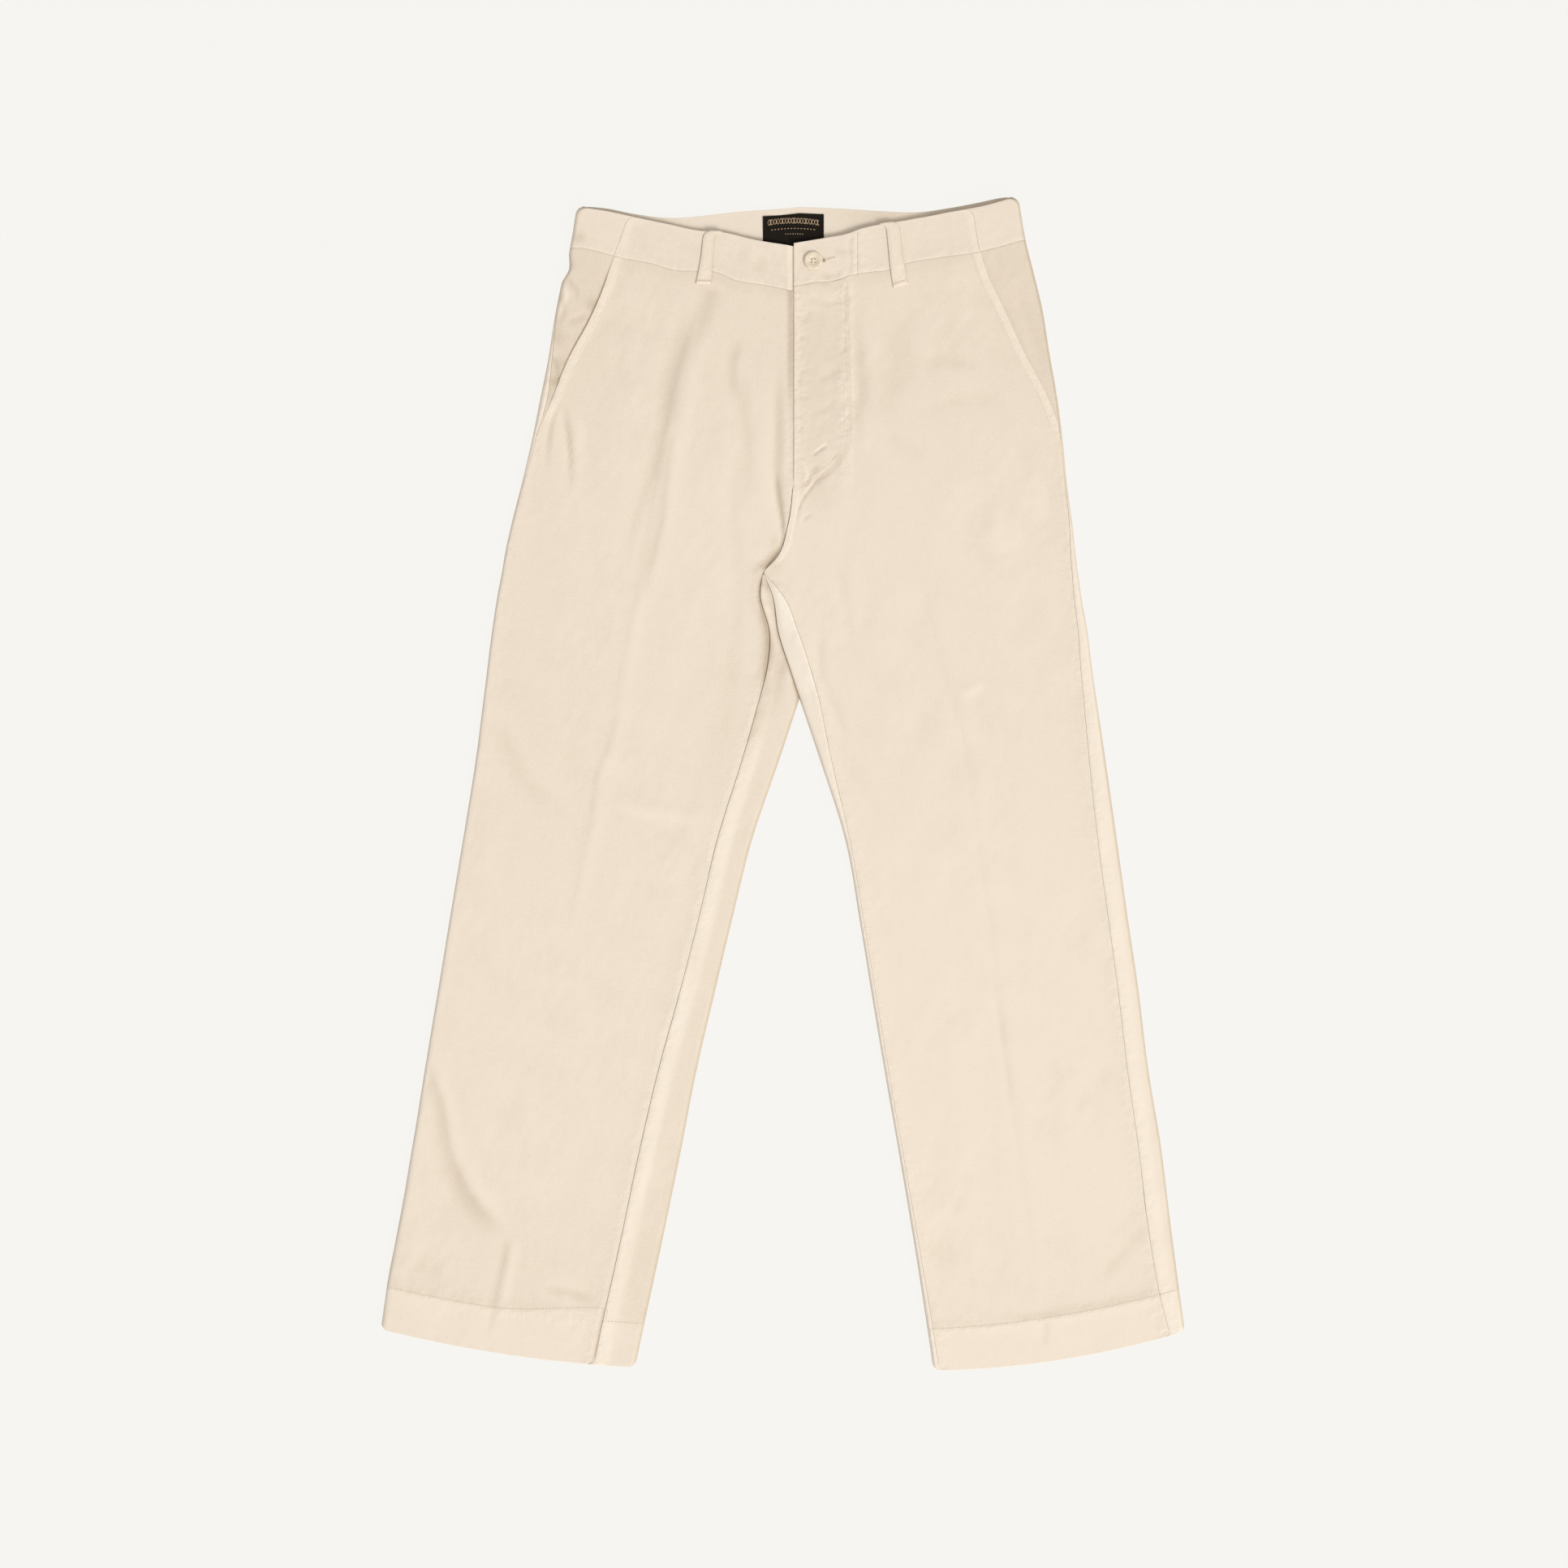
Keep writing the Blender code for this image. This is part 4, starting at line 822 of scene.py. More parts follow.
def plainMaterial(name, look):
    # a plain finish with a little mottling in its colour
    material, tree, shader = newMaterial(name)
    noise = newNode(tree, "TexNoise", {"Vector": newNode(tree, "TexCoord").outputs["Object"],
                                       "Scale": look["grain"], "Detail": 3.0,
                                       "Distortion": look.get("swirl", 0.0)}).outputs["Fac"]
    bump = newNode(tree, "Bump", {"Height": noise, "Strength": look["bump"], "Distance": 0.0001})
    fill(tree, shader, {
        "Base Color": colourRamp(tree, noise, [(0.3, look["dark"]), (0.7, look["light"])]),
        "Normal": bump.outputs["Normal"], "Roughness": look["roughness"],
        "Specular IOR Level": look["gloss"], "Sheen Weight": look.get("sheen", 0.0)})
    return material


twill = twillMaterial("washedTwill", {
    "base": (0.835, 0.722, 0.588), "dark": (0.56, 0.45, 0.33), "light": (0.93, 0.83, 0.70),
    "gloss": 0.25, "roughness": 0.92, "sheen": 0.12, "ribAngle": 58.0, "ribPitch": 0.0011,
    "threadPitch": 0.00055, "mottleScale": 150.0, "slubScale": 420.0, "mottle": 0.022, "slub": 0.012,
    "grain": 0.045, "rib": 0.05, "tone": 0.5, "weaveBump": 0.35, "puckerBump": 0.5})

print("trousers: fronts")

frontPanel = {
    "mouthStitch": 7.2,   # from the pocket's edge
    "riseStitch": 6.6,    # from the seam below the fly
    "flyWidth": 48.0,     # from the fly's edge to its outer row of stitches
    "dip": 1.5,           # the right front's edge dips and runs on under the left
    "dipDepth": 0.12,
    "underlap": 20.0,
    "columns": 90,
    "pattern": {"right": 3000.0, "left": 0.0},   # where its weave begins
}


def hemClimb(side, arc, length):
    # in rows: how far the turned hem's edge climbs towards the right inseam
    return (side == "right") * 0.16 * smoothStep(length - 150.0, length - 40.0, arc)


def flyEdge(pairs, reach, onFly):
    # the right front's edge, which along the fly runs on flat under the left front
    mixed = []
    for index, (out, deep) in enumerate(pairs):
        share = min((index + 1) / 6, 1.0)
        on = {6: 0.4, 7: 1.0}.get(index, 0.0) * frontPanel["underlap"]
        flyDeep = frontPanel["dipDepth"] * smoothStep(0.0, 1.0, share) + 0.2 * (on > 0.0)
        mixed.append((mix(out, frontPanel["dip"] * share + on, onFly), mix(deep, flyDeep, onFly)))
    return mixed, mix(reach, frontPanel["dip"] + 0.3, onFly)


def frontCloth(side):
    fly = side == "left"
    rows, depth, beyond = withTurnings(panelRows(side))
    section = sectionsAt(side, rows)
    row = rows[:, None]
    length = clothLength(section)
    start = arcOf(section["frontEdge"]) + halfGap
    end = length - mix(section["inseam"], arcOf(section["inseam"]), section["closed"]) - halfGap

    # outer edge: the pocket mouth is turned under, lower down it is the outseam; inner
    # edge: the left side is turned under along the fly, the right side runs under it
    mouth = smoothStep(pocketFoot[side] + 0.15, pocketFoot[side] - 0.25, row)
    onFly = smoothStep(flyEnd + 0.1, flyEnd - 0.35, row)
    riseSeam = smoothStep(flyEnd - 0.3, flyEnd + 0.3, row) * smoothStep(crotch, crotch - 0.6, row)
    edges = []
    for turned, seamTurn in ((mouth, cloth["seamTurn"]), (fly * onFly, mix(cloth["seamTurn"], 0.2, riseSeam))):
        tail = mix(cloth["seamTail"], cloth["mouthTail"], turned)
        radius = mix(cloth["seamRoll"], cloth["roll"], turned)
        edges.append(rolledEdge(mix(seamTurn, math.pi, turned), tail, radius))
    focus = [(start, 9.0, 1.6), (end, 9.0, 1.8)]
    if fly:
        focus += [(end - 18.0, 22.0, 2.2), (end - 46.0, 9.0, 1.2)]
    else:
        edges[1] = flyEdge(*edges[1], onFly)
    arc, deep = panelColumns(start, end, frontPanel["columns"], focus, *edges)
    fromOuter, fromInner = arc - start, end - arc

    # the hem's edge climbs a little at the right, where its groove and shade are softer
    hemRow = row + hemClimb(side, arc, length)
    softer = 1.0 - 4.0 * hemClimb(side, arc, length)
    onHem = smoothStep(hemTop - 0.02, hemTop + 0.03, hemRow)
    groove = softer * bell(hemRow, hemTop, hem["groove"])
    hemShadow = softer * bell(hemRow, hemTop - 0.04, 0.07) * (hemRow < hemTop)
    atInseam = onHem * bell(np.maximum(fromInner, 0.0), 0.0, 2.2)

    # stitched-down edges stand proud, stitch lines pull in
    mouthBand = mouth * (0.35 * smoothStep(8.2, 6.6, fromOuter) - 0.1 * bell(fromOuter, 7.6, 1.1))
    raised = mouthBand + hem["proud"] * onHem - 0.1 * groove
    # painted shade just below the waistband and in the hem's stitched groove
    shadeBelowBand = bell(row, waistSeam + 0.15, 0.3) + 1.3 * bell(row, waistSeam, 0.05)
    tone = (0.14 * onHem - 0.04 * groove - 0.12 * shadeBelowBand
            + 0.25 * mouth * smoothStep(8.4, 6.0, fromOuter))
    pucker = (bell(fromOuter, 0.0, 9.0) + bell(fromInner, 0.0, 9.0) + 0.8 * bell(row, hemTop, 0.15)
              + 0.25 * onHem)
    if fly:
        flyBand = (0.25 * onFly * smoothStep(7.0, 2.0, fromInner)
                   + riseSeam * (0.5 * smoothStep(7.4, 5.8, fromInner) - 0.3 * bell(fromInner, 6.8, 1.0)))
        # the cloth is drawn into small beads by the stitching
        onStitch = (bell(fromInner, frontPanel["flyWidth"], 4.5) * smoothStep(6.1, 5.3, row)
                    + 0.7 * bell(fromInner, 5.0, 4.0))
        beads = onFly * onStitch * waves(arc, lengthDown(section) + 0.0 * arc, 7.0, 41)
        raised = raised + flyBand + 0.11 * beads
        # painted light on the beads' tops and painted shade between them, painted shade at the inseam in the
        # hem and a painted shadow above the hem
        tone = (tone + 0.25 * flyBand + 0.07 * beads - 0.1 * atInseam
                - 0.09 * hemShadow * (1.5 + waves(arc, length, 90.0, 8)))
        pucker += onFly * (0.35 + bell(fromInner, frontPanel["flyWidth"] - 1.0, 6.0)) * (fromInner < 55.0)
    else:
        # lower, and darker with painted shade, beside the fly, at the inseam and below the crotch
        away = np.maximum(fromInner, 0.0)
        upper = smoothStep(5.4, 3.4, row)
        onInseam = smoothStep(crotch - 0.3, crotch + 0.3, row)
        atCrotch = smoothStep(crotch - 0.1, crotch + 0.6, row) * smoothStep(legTop + 0.4, legTop - 1.6, row)
        below = smoothStep(11.2, 12.0, row) * smoothStep(13.9, 12.5, row)
        raised = (raised - 0.7 * onFly * smoothStep(12.0, 2.5, fromInner)
                  - 0.12 * riseSeam * smoothStep(9.0, 0.0, fromInner)
                  - (0.4 * onInseam + atCrotch) * smoothStep(6.0, 0.0, fromInner))
        flyShade = (upper * (0.58 * np.exp(-(away / 5.6)**4) + 0.06 * smoothStep(14.0, 4.0, away))
                    + (1.0 - upper) * 0.3 * bell(away, 0.0, 2.2) - 0.22 * bell(away, 0.0, 1.2))
        tone = (tone - onFly * flyShade - 0.9 * atInseam - 0.09 * hemShadow
                - atCrotch * (0.9 * bell(away, 0.0, 3.0) + 0.2 * smoothStep(13.0, 1.0, away))
                - 0.8 * below * bell(away, 0.0, 5.5))
    grid = gridOf("front" + side.title(), section, topPlace(section, arc), arc < 0.0, depth + deep, beyond,
                  arc, lengthDown(section) + frontPanel["pattern"][side], tone, np.clip(pucker, 0.0, 1.2),
                  raised)
    return sheetObject("clothFront" + side.title(), [grid], side == "right", twill)


print("trousers: backs")

backPanel = {
    "seamProud": 0.5,   # the cloth stands up beside the outseam and the inseams
    # painted highlight on the raised cloth beside the seams
    "seamHighlight": 0.36,
    "columns": 62,
    "stripColumns": 24,
    "pattern": 700.0,
}


def backCloth(side):
    piece = "back" + side.title()
    rows = panelRows(side)
    clear = (rows < legTop - 0.05) | (rows > legTop + 0.05)
    rows = np.sort(np.concatenate([rows[clear], [legTop - 0.03, legTop]]))
    rows, depth, beyond = withTurnings(rows)
    section = sectionsAt(side, rows)
    row = rows[:, None]
    down = lengthDown(section)
    slit = 1.0 - (row >= legTop)

    # underneath and round the outer fold to the outseam
    fold = clothLength(section, True)
    start = halfGap * slit
    end = fold + arcOf(section["backEdge"]) - halfGap
    arc, deep = panelColumns(start, end, backPanel["columns"],
                             [(fold, 7.0, 6.0), (0.0 * fold, 7.0, 4.0), (end, 22.0, 2.4), (end, 4.0, 5.0)],
                             seamEdge(slit, cloth["seamTail"] * 0.5, 4), seamEdge())
    along, under = underPlace(section, arc)
    fromEdge = end - arc
    onHem = smoothStep(hemTop - 0.01, hemTop + 0.01, row)
    groove = bell(row, hemTop, hem["groove"])
    band = smoothStep(16.0, 8.0, fromEdge)
    rounded = 0.4 + 0.6 * smoothStep(0.0, 2.5, fromEdge)
    raised = backPanel["seamProud"] * band * rounded + hem["proud"] * onHem - 0.1 * groove
    # painted highlight beside the seam, painted shade in the hem's groove
    tone = backPanel["seamHighlight"] * band + 0.13 * onHem - 0.04 * groove
    pucker = np.clip(bell(fromEdge, 0.0, 10.0) + 0.5 * bell(row, hemTop, 0.15), 0.0, 1.2)
    grids = [gridOf(piece, section, along, under, depth + deep, beyond, arc + backPanel["pattern"], down, tone,
                    pucker, raised)]

    # the strip on top, from the inseam to the inner fold
    keep = (rows > crotch) | (np.arange(len(rows)) >= len(rows) - 11)
    section = sectionsAt(side, rows[keep])
    row, slit, onHem, groove = row[keep], slit[keep], onHem[keep], groove[keep]
    width = mix(section["inseam"], arcOf(section["inseam"]), section["closed"])
    start = width - halfGap
    arc, deep = panelColumns(start, halfGap * slit, backPanel["stripColumns"],
                             [(width, 5.0, 1.5), (0.0 * width, 6.0, 1.2)], seamEdge(),
                             seamEdge(slit, cloth["seamTail"] * 0.5, 4), smoothStep(0.0, 6.0, width))
    along = widthOf(section) - mix(arc, onFold(np.maximum(arc, 0.0)), section["closed"])
    fromEdge = start - arc
    bandWidth = np.minimum(13.0, 0.75 * width)
    band = smoothStep(bandWidth + 4.0, bandWidth - 5.0, fromEdge) * smoothStep(0.0, 10.0, width)
    rounded = 0.4 + 0.6 * smoothStep(0.0, 2.5, fromEdge)
    valley = slit * smoothStep(crotch, crotch + 0.6, row) * smoothStep(legTop, legTop - 0.6, row)
    if side == "right":
        # a valley below the crotch, with painted shade beside the front and where the legs part
        raised = (backPanel["seamProud"] * band * (1.0 - valley)
                  - 0.8 * valley * (0.3 + 0.7 * smoothStep(14.0, 0.0, arc)))
        beside = smoothStep(11.8, 12.4, row) * smoothStep(13.9, 12.7, row)
        parting = smoothStep(12.7, 13.4, row) * smoothStep(15.6, 14.1, row)
        shade = -(0.42 * valley * smoothStep(13.3, 12.8, row)
                  + 0.6 * valley * smoothStep(12.6, 11.6, row) * bell(fromEdge, 0.0, 1.8)
                  + 0.6 * beside * bell(fromEdge, 0.0, 3.0)
                  + 0.66 * parting * smoothStep(19.0, 7.0, fromEdge))
    else:
        raised = backPanel["seamProud"] * band + 0.4 * valley * smoothStep(0.0, 5.0, arc)
        # painted light on the strip beside the valley
        shade = 0.3 * valley
    raised = raised * rounded + hem["proud"] * smoothStep(hemTop - 0.02, hemTop + 0.03, row)
    # painted shade beyond the band on wide strips, and in the hem's groove
    tone = (backPanel["seamHighlight"] * band + shade - 0.06 * (1.0 - band) * smoothStep(20.0, 26.0, width)
            + 0.10 * band * waves(arc, down[keep], 26.0, 31, 2.5) + 0.13 * onHem - 0.04 * groove)
    grids.append(gridOf(piece, section, along, False, depth[keep] + deep, beyond[keep],
                        backPanel["pattern"] - arc, down[keep], tone, bell(fromEdge, 0.0, 10.0), raised))
    return sheetObject("clothBack" + side.title(), grids, side == "right", twill)


pocketFacing = {
    "reach": 15.0,      # how far it runs on behind the front
    "dip": 1.5,
    "gape": {"right": 0.9, "left": 0.35},   # how far the mouth stands open, at most
    "rows": 90,
    "columns": 60,
    "pattern": 1500.0,
}


def facingCloth(side):
    # pocket facing: lies level with the front outside the mouth, and dips under it
    rows = np.concatenate([waistSeam + np.array([0.0015, 0.004, 0.007]),
                           spreadRows(side, waistSeam + 0.01, 5.95, pocketFacing["rows"], [])])
    topDepth = np.concatenate([[0.35, 0.15, 0.04], np.zeros(pocketFacing["rows"])])[:, None]
    section = sectionsAt(side, rows)
    row = rows[:, None]
    start = arcOf(section["backEdge"]) + halfGap
    mouth = arcOf(section["frontEdge"])
    arc, deep = panelColumns(start, mouth + pocketFacing["reach"], pocketFacing["columns"],
                             [(start, 5.0, 1.0), (mouth - 3.0, 5.0, 1.4)], seamEdge())
    gape = smoothStep(waistSeam, waistSeam + 1.2, row) * smoothStep(pocketFoot[side], 3.2, row)
    slope = smoothStep(mouth - np.minimum(4.0, 0.5 * (mouth - start)), mouth - 0.2, arc)
    deep += slope * (0.15 + pocketFacing["gape"][side] * gape)
    deep += pocketFacing["dip"] * smoothStep(mouth + 0.4, mouth + 4.0, arc)
    # painted shade towards the mouth, more where it gapes; the whole facing a little darker
    if side == "right":
        tone = -0.10 - 0.45 * smoothStep(mouth - 5.0, mouth - 1.5, arc) * gape
    else:
        tone = -0.15 - 0.05 * smoothStep(mouth - 3.5, mouth - 0.5, arc)
    pucker = 0.5 * bell(arc, start, 9.0) + 0.2
    grid = gridOf("facing" + side.title(), section, topPlace(section, arc), arc < 0.0, topDepth + deep, 0.0,
                  arc + pocketFacing["pattern"], lengthDown(section), tone, pucker)
    return sheetObject("clothFacing" + side.title(), [grid], side == "right", twill)


fronts, backs, facings = {}, {}, {}
for side in ("right", "left"):
    fronts[side] = place(frontCloth(side), "twill", "front_" + side)
    backs[side] = place(backCloth(side), "twill", "back_" + side)
    facings[side] = place(facingCloth(side), "twill", "pocket_facing_" + side)

print("trousers: waistband")

waistband = {
    "proud": 0.2,       # how far it stands out of the panels
    "wall": 1.5,        # two layers and the lining between
    "softness": 0.4,    # rounding of its edges
    "height": 38.0,
    "tab": 60.0,
    "underlap": 34.0,
    "dip": 5.5,         # width over which the right end dips under the tab
    "backColumns": 110,
    "pattern": 5000.0,
}
bandRows = np.concatenate([[0.0, 0.035], np.linspace(0.085, 0.915, 15), [0.963, 1.0]])


def bandTone(row):
    # lighter along the pressed edges
    return 0.10 * bell(row, 0.02, 0.04) + 0.12 * bell(row, 0.97, 0.05)


def bandSheet(name, grid, flipped):
    return sheetObject(name, [grid], flipped, twill, waistband["wall"], waistband["softness"])


def frontBand(name, side, start, end, columns, seamPucker, dips=False):
    # a front piece of the waistband; start and end are measured along the cloth
    section = sectionsAt(side, bandRows)
    length = clothLength(section)
    seam = arcOf(section["frontEdge"])
    first = seam + halfGap if start is None else length - start
    last = length - end
    arc = spreadColumns(first, last, columns)
    arc[:, 1] = arc[:, 0] + 1.3
    arc[:, -2] = arc[:, -1] - 1.3
    deep = -waistband["proud"] + 0.0 * arc
    if dips:
        deep += (waistband["wall"] + 0.1) * smoothStep(length - waistband["dip"], length - 0.6, arc)
    tone = bandTone(section["row"]) + 0.22 * bell(arc, seam + 3.5, 3.2)
    if side == "left":
        tabSeam = length - waistband["tab"]
        tone = tone + 0.16 * bell(arc, tabSeam + 8.0, 2.2) + 0.16 * bell(arc, tabSeam + 2.5, 1.8)
    pucker = (0.15 + 0.9 * bell(section["row"], 1.0, 0.2) + seamPucker[0] * bell(arc, first, 8.0)
              + seamPucker[1] * bell(arc, last, 8.0))
    grid = gridOf("band" + side.title(), section, topPlace(section, arc), False, deep, 0.0,
                  waistband["height"] * section["row"] + waistband["pattern"], arc, tone,
                  np.clip(pucker, 0.0, 1.6))
    return bandSheet(name, grid, side == "right")


def backBand():
    # from the seam above one pocket, round the back, to the seam above the other
    halves = []
    for side in ("right", "left"):
        section = sectionsAt(side, bandRows)
        row, width = section["row"], widthOf(section, True)
        seam = arcOf(section["frontEdge"]) - halfGap
        far = width + foldSlack
        arc = spreadColumns(seam, -far, waistband["backColumns"], [(0.0 * seam, 8.0, 4.0), (seam, 20.0, 1.5)])
        arc[:, 1] = arc[:, 0] - 1.3
        under = arc < 0.0
        along = np.minimum(onFold(arc), np.where(under, width, np.inf))
        # in the shade of the front
        tone = bandTone(row) - 0.25 * under * smoothStep(105.0, 75.0, along) * smoothStep(0.3, 0.16, row)
        if side == "left":
            tone = tone - 0.32 * under * smoothStep(200.0, 125.0, along) * smoothStep(0.9, 0.5, row)
        halves.append(gridOf("bandBack", section, along, under, -waistband["proud"] + 0.0 * arc, 0.0,
                             waistband["height"] * row + waistband["pattern"],
                             arc if side == "right" else -arc - 2 * far, tone,
                             0.15 + 0.6 * bell(row, 1.0, 0.2)))
    return bandSheet("waistbandBack", joined(*halves), False)


# where each front piece starts and ends from the inner end, or from the pocket's seam,
# its columns and the puckers at its ends
bands = {}
for key, name, node, side, start, end, columns, seamPucker in (
        ("right", "FrontRight", "front_right", "right", None, -waistband["underlap"], 150, (0.5, 0.5)),
        ("left", "FrontLeft", "front_left", "left", None, waistband["tab"] + halfGap, 80, (0.5, 1.4)),
        ("tab", "Tab", "tab", "left", waistband["tab"] - halfGap, halfGap, 50, (1.4, 0.5))):
    piece = frontBand("waistband" + name, side, start, end, columns, seamPucker, key == "right")
    bands[key] = place(piece, "twill", "waistband_" + node)
bands["back"] = place(backBand(), "twill", "waistband_back")

print("trousers: belt loops, label and button")

beltLoops = {
    # leg, underneath, middle at top and foot from the outer fold, last row, widths
    "FrontRight": ("right", False, 124.3, 128.4, 1.50, 11.0, 14.5),
    "FrontLeft": ("left", False, 118.5, 122.5, 1.75, 12.6, 14.0),
    "BackRight": ("right", True, 88.0, 94.0, 1.45, 12.0, 13.5),
    "BackLeft": ("left", True, 86.0, 92.0, 1.45, 12.0, 13.5),
    "CentreBack": ("right", True, 205.6, 211.9, 1.45, 12.0, 13.5),
}
loopShape = {"wall": 0.8, "softness": 0.28, "stand": 0.85, "rows": 44, "columns": 15, "pattern": 6000.0}
loopNodes = dict(zip(beltLoops, ("front_right", "front_left", "back_right", "back_left", "centre_back")))


def loopPlace(section, share, across, top, foot, topWidth, footWidth):
    # distance from the outer fold, and the loop's width there
    width = mix(topWidth, footWidth, smoothStep(0.3, 1.0, share))
    return mix(top, foot, share) + across * width - section["pinched"], width


def beltLoop(name, leg, under, top, foot, lastAt, *widths):
    share = np.linspace(0.0, 1.0, loopShape["rows"])[:, None]
    across = np.linspace(-0.5, 0.5, loopShape["columns"])[None, :]
    section = sectionsAt(leg, mix(0.06 if under else 0.0, lastAt, share)[:, 0])
    along, width = loopPlace(section, share, across, top, foot, *widths)
    stand = (waistband["proud"] * smoothStep(1.12, 1.0, section["row"]) + loopShape["stand"]
             + (0.0 if under else 0.25) * np.sin(math.pi * share)**0.7 + 0.2 * (1.0 - (2.0 * across)**4))
    # folded ends, tacked down
    stand = stand + 0.35 * bell(share, 0.955, 0.03) - 0.2 * bell(np.abs(across), 0.33, 0.05)
    beyond = np.where((share < 0.01) & (not under), -0.5, 0.0)
    # painted shade along the loop's sides and in a line just above its folded foot, painted light on the fold
    tone = (0.02 - 0.25 * bell(share, 0.90, 0.02) + 0.2 * smoothStep(0.92, 0.95, share)
            - 0.8 * smoothStep(0.40, 0.5, np.abs(across)) * smoothStep(0.0, 0.06, share))
    x, y, z, facing = legPoints(section, along, under, -stand, beyond)
    grid = gridFrom(x, y, np.maximum(z, 0.05), across * width + loopShape["pattern"], share * 60.0, tone, 0.5)
    return sheetObject("beltLoop" + name, [grid], (leg == "right") != under, twill, loopShape["wall"],
                       loopShape["softness"])


loops = {name: place(beltLoop(name, *values), "twill", "belt_loop_" + loopNodes[name])
         for name, values in beltLoops.items()}

label = {"right": 33.8, "left": 22.5, "top": 0.16, "foot": 0.985, "wall": 0.45, "count": 14}
labelBlack = twillMaterial("labelBlack", {
    "base": (0.013, 0.010, 0.007), "dark": (0.009, 0.006, 0.005), "light": (0.026, 0.020, 0.015),
    "gloss": 0.08, "roughness": 0.9, "sheen": 0.0, "ribAngle": 0.0, "ribPitch": 0.0007,
    "threadPitch": 0.0005, "mottleScale": 120.0, "slubScale": 400.0, "mottle": 0.06, "slub": 0.05,
    "grain": 0.08, "rib": 0.1, "tone": 0.5, "weaveBump": 0.4, "puckerBump": 0.2})


def labelCloth():
    # sewn flat inside the waistband's back, across the middle
    halves = []
    for side in ("right", "left"):
        section = sectionsAt(side, np.linspace(label["top"], label["foot"], label["count"]))
        down = section["row"] * waistband["height"]
        width = widthOf(section, True)
        away = np.linspace(1.0, 0.0, label["count"])[None, :] * label[side] + 0.0 * width
        deep = waistband["wall"] - waistband["proud"] + label["wall"] + 0.25
        deep = deep + 0.2 * waves(away, down, 30.0, 4)
        x, y, z, facing = legPoints(section, width - away, True, deep)
        halves.append(gridFrom(x, y, z, x, down, 0.0, 0.2))
    return sheetObject("waistLabel", [joined(*halves)], True, labelBlack, label["wall"], 0.15)


labelPiece = place(labelCloth(), "label_cloth", "label")

print("trousers: stitches and button")

creamThread = plainMaterial("creamThread", {
    "dark": (0.76, 0.64, 0.50), "light": (0.90, 0.79, 0.65), "roughness": 0.7, "gloss": 0.3,
    "sheen": 0.2, "grain": 900.0, "bump": 0.5})
goldThread = plainMaterial("goldThread", {
    "dark": (0.36, 0.24, 0.13), "light": (0.58, 0.42, 0.26), "roughness": 0.6, "gloss": 0.3,
    "sheen": 0.2, "grain": 900.0, "bump": 0.5})
buttonResin = plainMaterial("buttonResin", {
    "dark": (0.70, 0.58, 0.42), "light": (0.84, 0.73, 0.57), "roughness": 0.42, "gloss": 0.4,
    "grain": 240.0, "swirl": 1.5, "bump": 0.1})

topstitch = {"pitch": 3.0, "fill": 0.82, "radius": 0.30}
fineStitch = {"pitch": 2.2, "fill": 0.8, "radius": 0.24}


def surfaceOf(*pieces):
    # the upper faces of some pieces, to lay stitches on
    points, faces = [], []
    for piece in pieces:
        first = len(points)
        points += [vert.co.copy() for vert in piece.data.vertices]
        faces += [[first + index for index in face.vertices] for face in piece.data.polygons]
    return BVHTree.FromPolygons(points, faces)


def onSurface(surface, x, y, fallback=0.008):
    above = Vector(((x + middleX) * mm, y * mm, 0.05))
    hit = surface.ray_cast(above, Vector((0, 0, -1)))[0]
    return hit or Vector((above.x, above.y, fallback))


def addThread(bm, size, matrix, segments=(6, 4)):
    made = bmesh.ops.create_uvsphere(bm, u_segments=segments[0], v_segments=segments[1], radius=1.0)
    bmesh.ops.transform(bm, matrix=matrix @ Matrix.Diagonal((*size, 1.0)), verts=made["verts"])


def addStitch(bm, surface, a, b, radius, sink=0.35):
    # one short length of thread lying on the cloth, thicker in its middle
    start, end = onSurface(surface, *a), onSurface(surface, *b)
    run = end - start
    if run.length < 0.0002:
        return
    along = run.normalized()
    across = Vector((0, 0, 1)).cross(along).normalized()
    turn = Matrix((across.cross(along), across, along)).transposed().to_4x4()
    lift = Vector((0, 0, radius * mm * (1.0 - 2.0 * sink)))
    addThread(bm, (radius * mm, radius * mm, run.length / 2),
              Matrix.Translation((start + end) / 2 + lift) @ turn)


def addRow(bm, surface, points, stitch):
    # a row of stitches with small gaps between them, made apart and then added
    line = smoothLine(points, 200)
    way = wayAlong(line)
    spots = np.linspace(0.0, way[-1], max(int(way[-1] / stitch["pitch"]), 1) + 1)
    places = np.stack([np.interp(spots, way, column) for column in line.T], axis=1)
    row = bmesh.new()
    for a, b in zip(places, places[1:]):
        gap = (b - a) * (1.0 - stitch["fill"]) / 2
        addStitch(row, surface, a + gap, b - gap, stitch["radius"])
    rowMesh = bpy.data.meshes.new("row")
    row.to_mesh(rowMesh)
    row.free()
    bm.from_mesh(rowMesh)
    bpy.data.meshes.remove(rowMesh)


def rowLine(side, first, last, arcAt):
    # places along a leg, from row first to row last
    section = sectionsAt(side, np.linspace(first, last, 40))
    return topLine(section, topPlace(section, arcAt(section)))


def hemLine(side):
    # the row of stitches that holds a hem, from one fold to the other
    atHem = sectionsAt(side, [hemTop])
    length = clothLength(atHem)[0, 0]
    arc = np.linspace(2.5, length - 2.5, 120)
    climb = hemClimb(side, arc, length) * (arc < length - atHem["inseam"][0, 0])
    section = sectionsAt(side, hemTop - climb)
    return topLine(section, topPlace(section, arc[:, None]))


flyStitch = {
    # two rows beside the fly, which turn in towards its foot
    "inner": [(52.5, 462), (53.5, 420), (55.0, 370), (56.0, 338), (53.0, 314), (43.0, 297), (28.0, 286),
              (13.0, 280)],
    "outer": [(59.0, 464), (60.0, 420), (61.5, 370), (62.5, 336), (59.5, 309), (48.5, 291), (31.0, 279),
              (13.0, 273)],
}

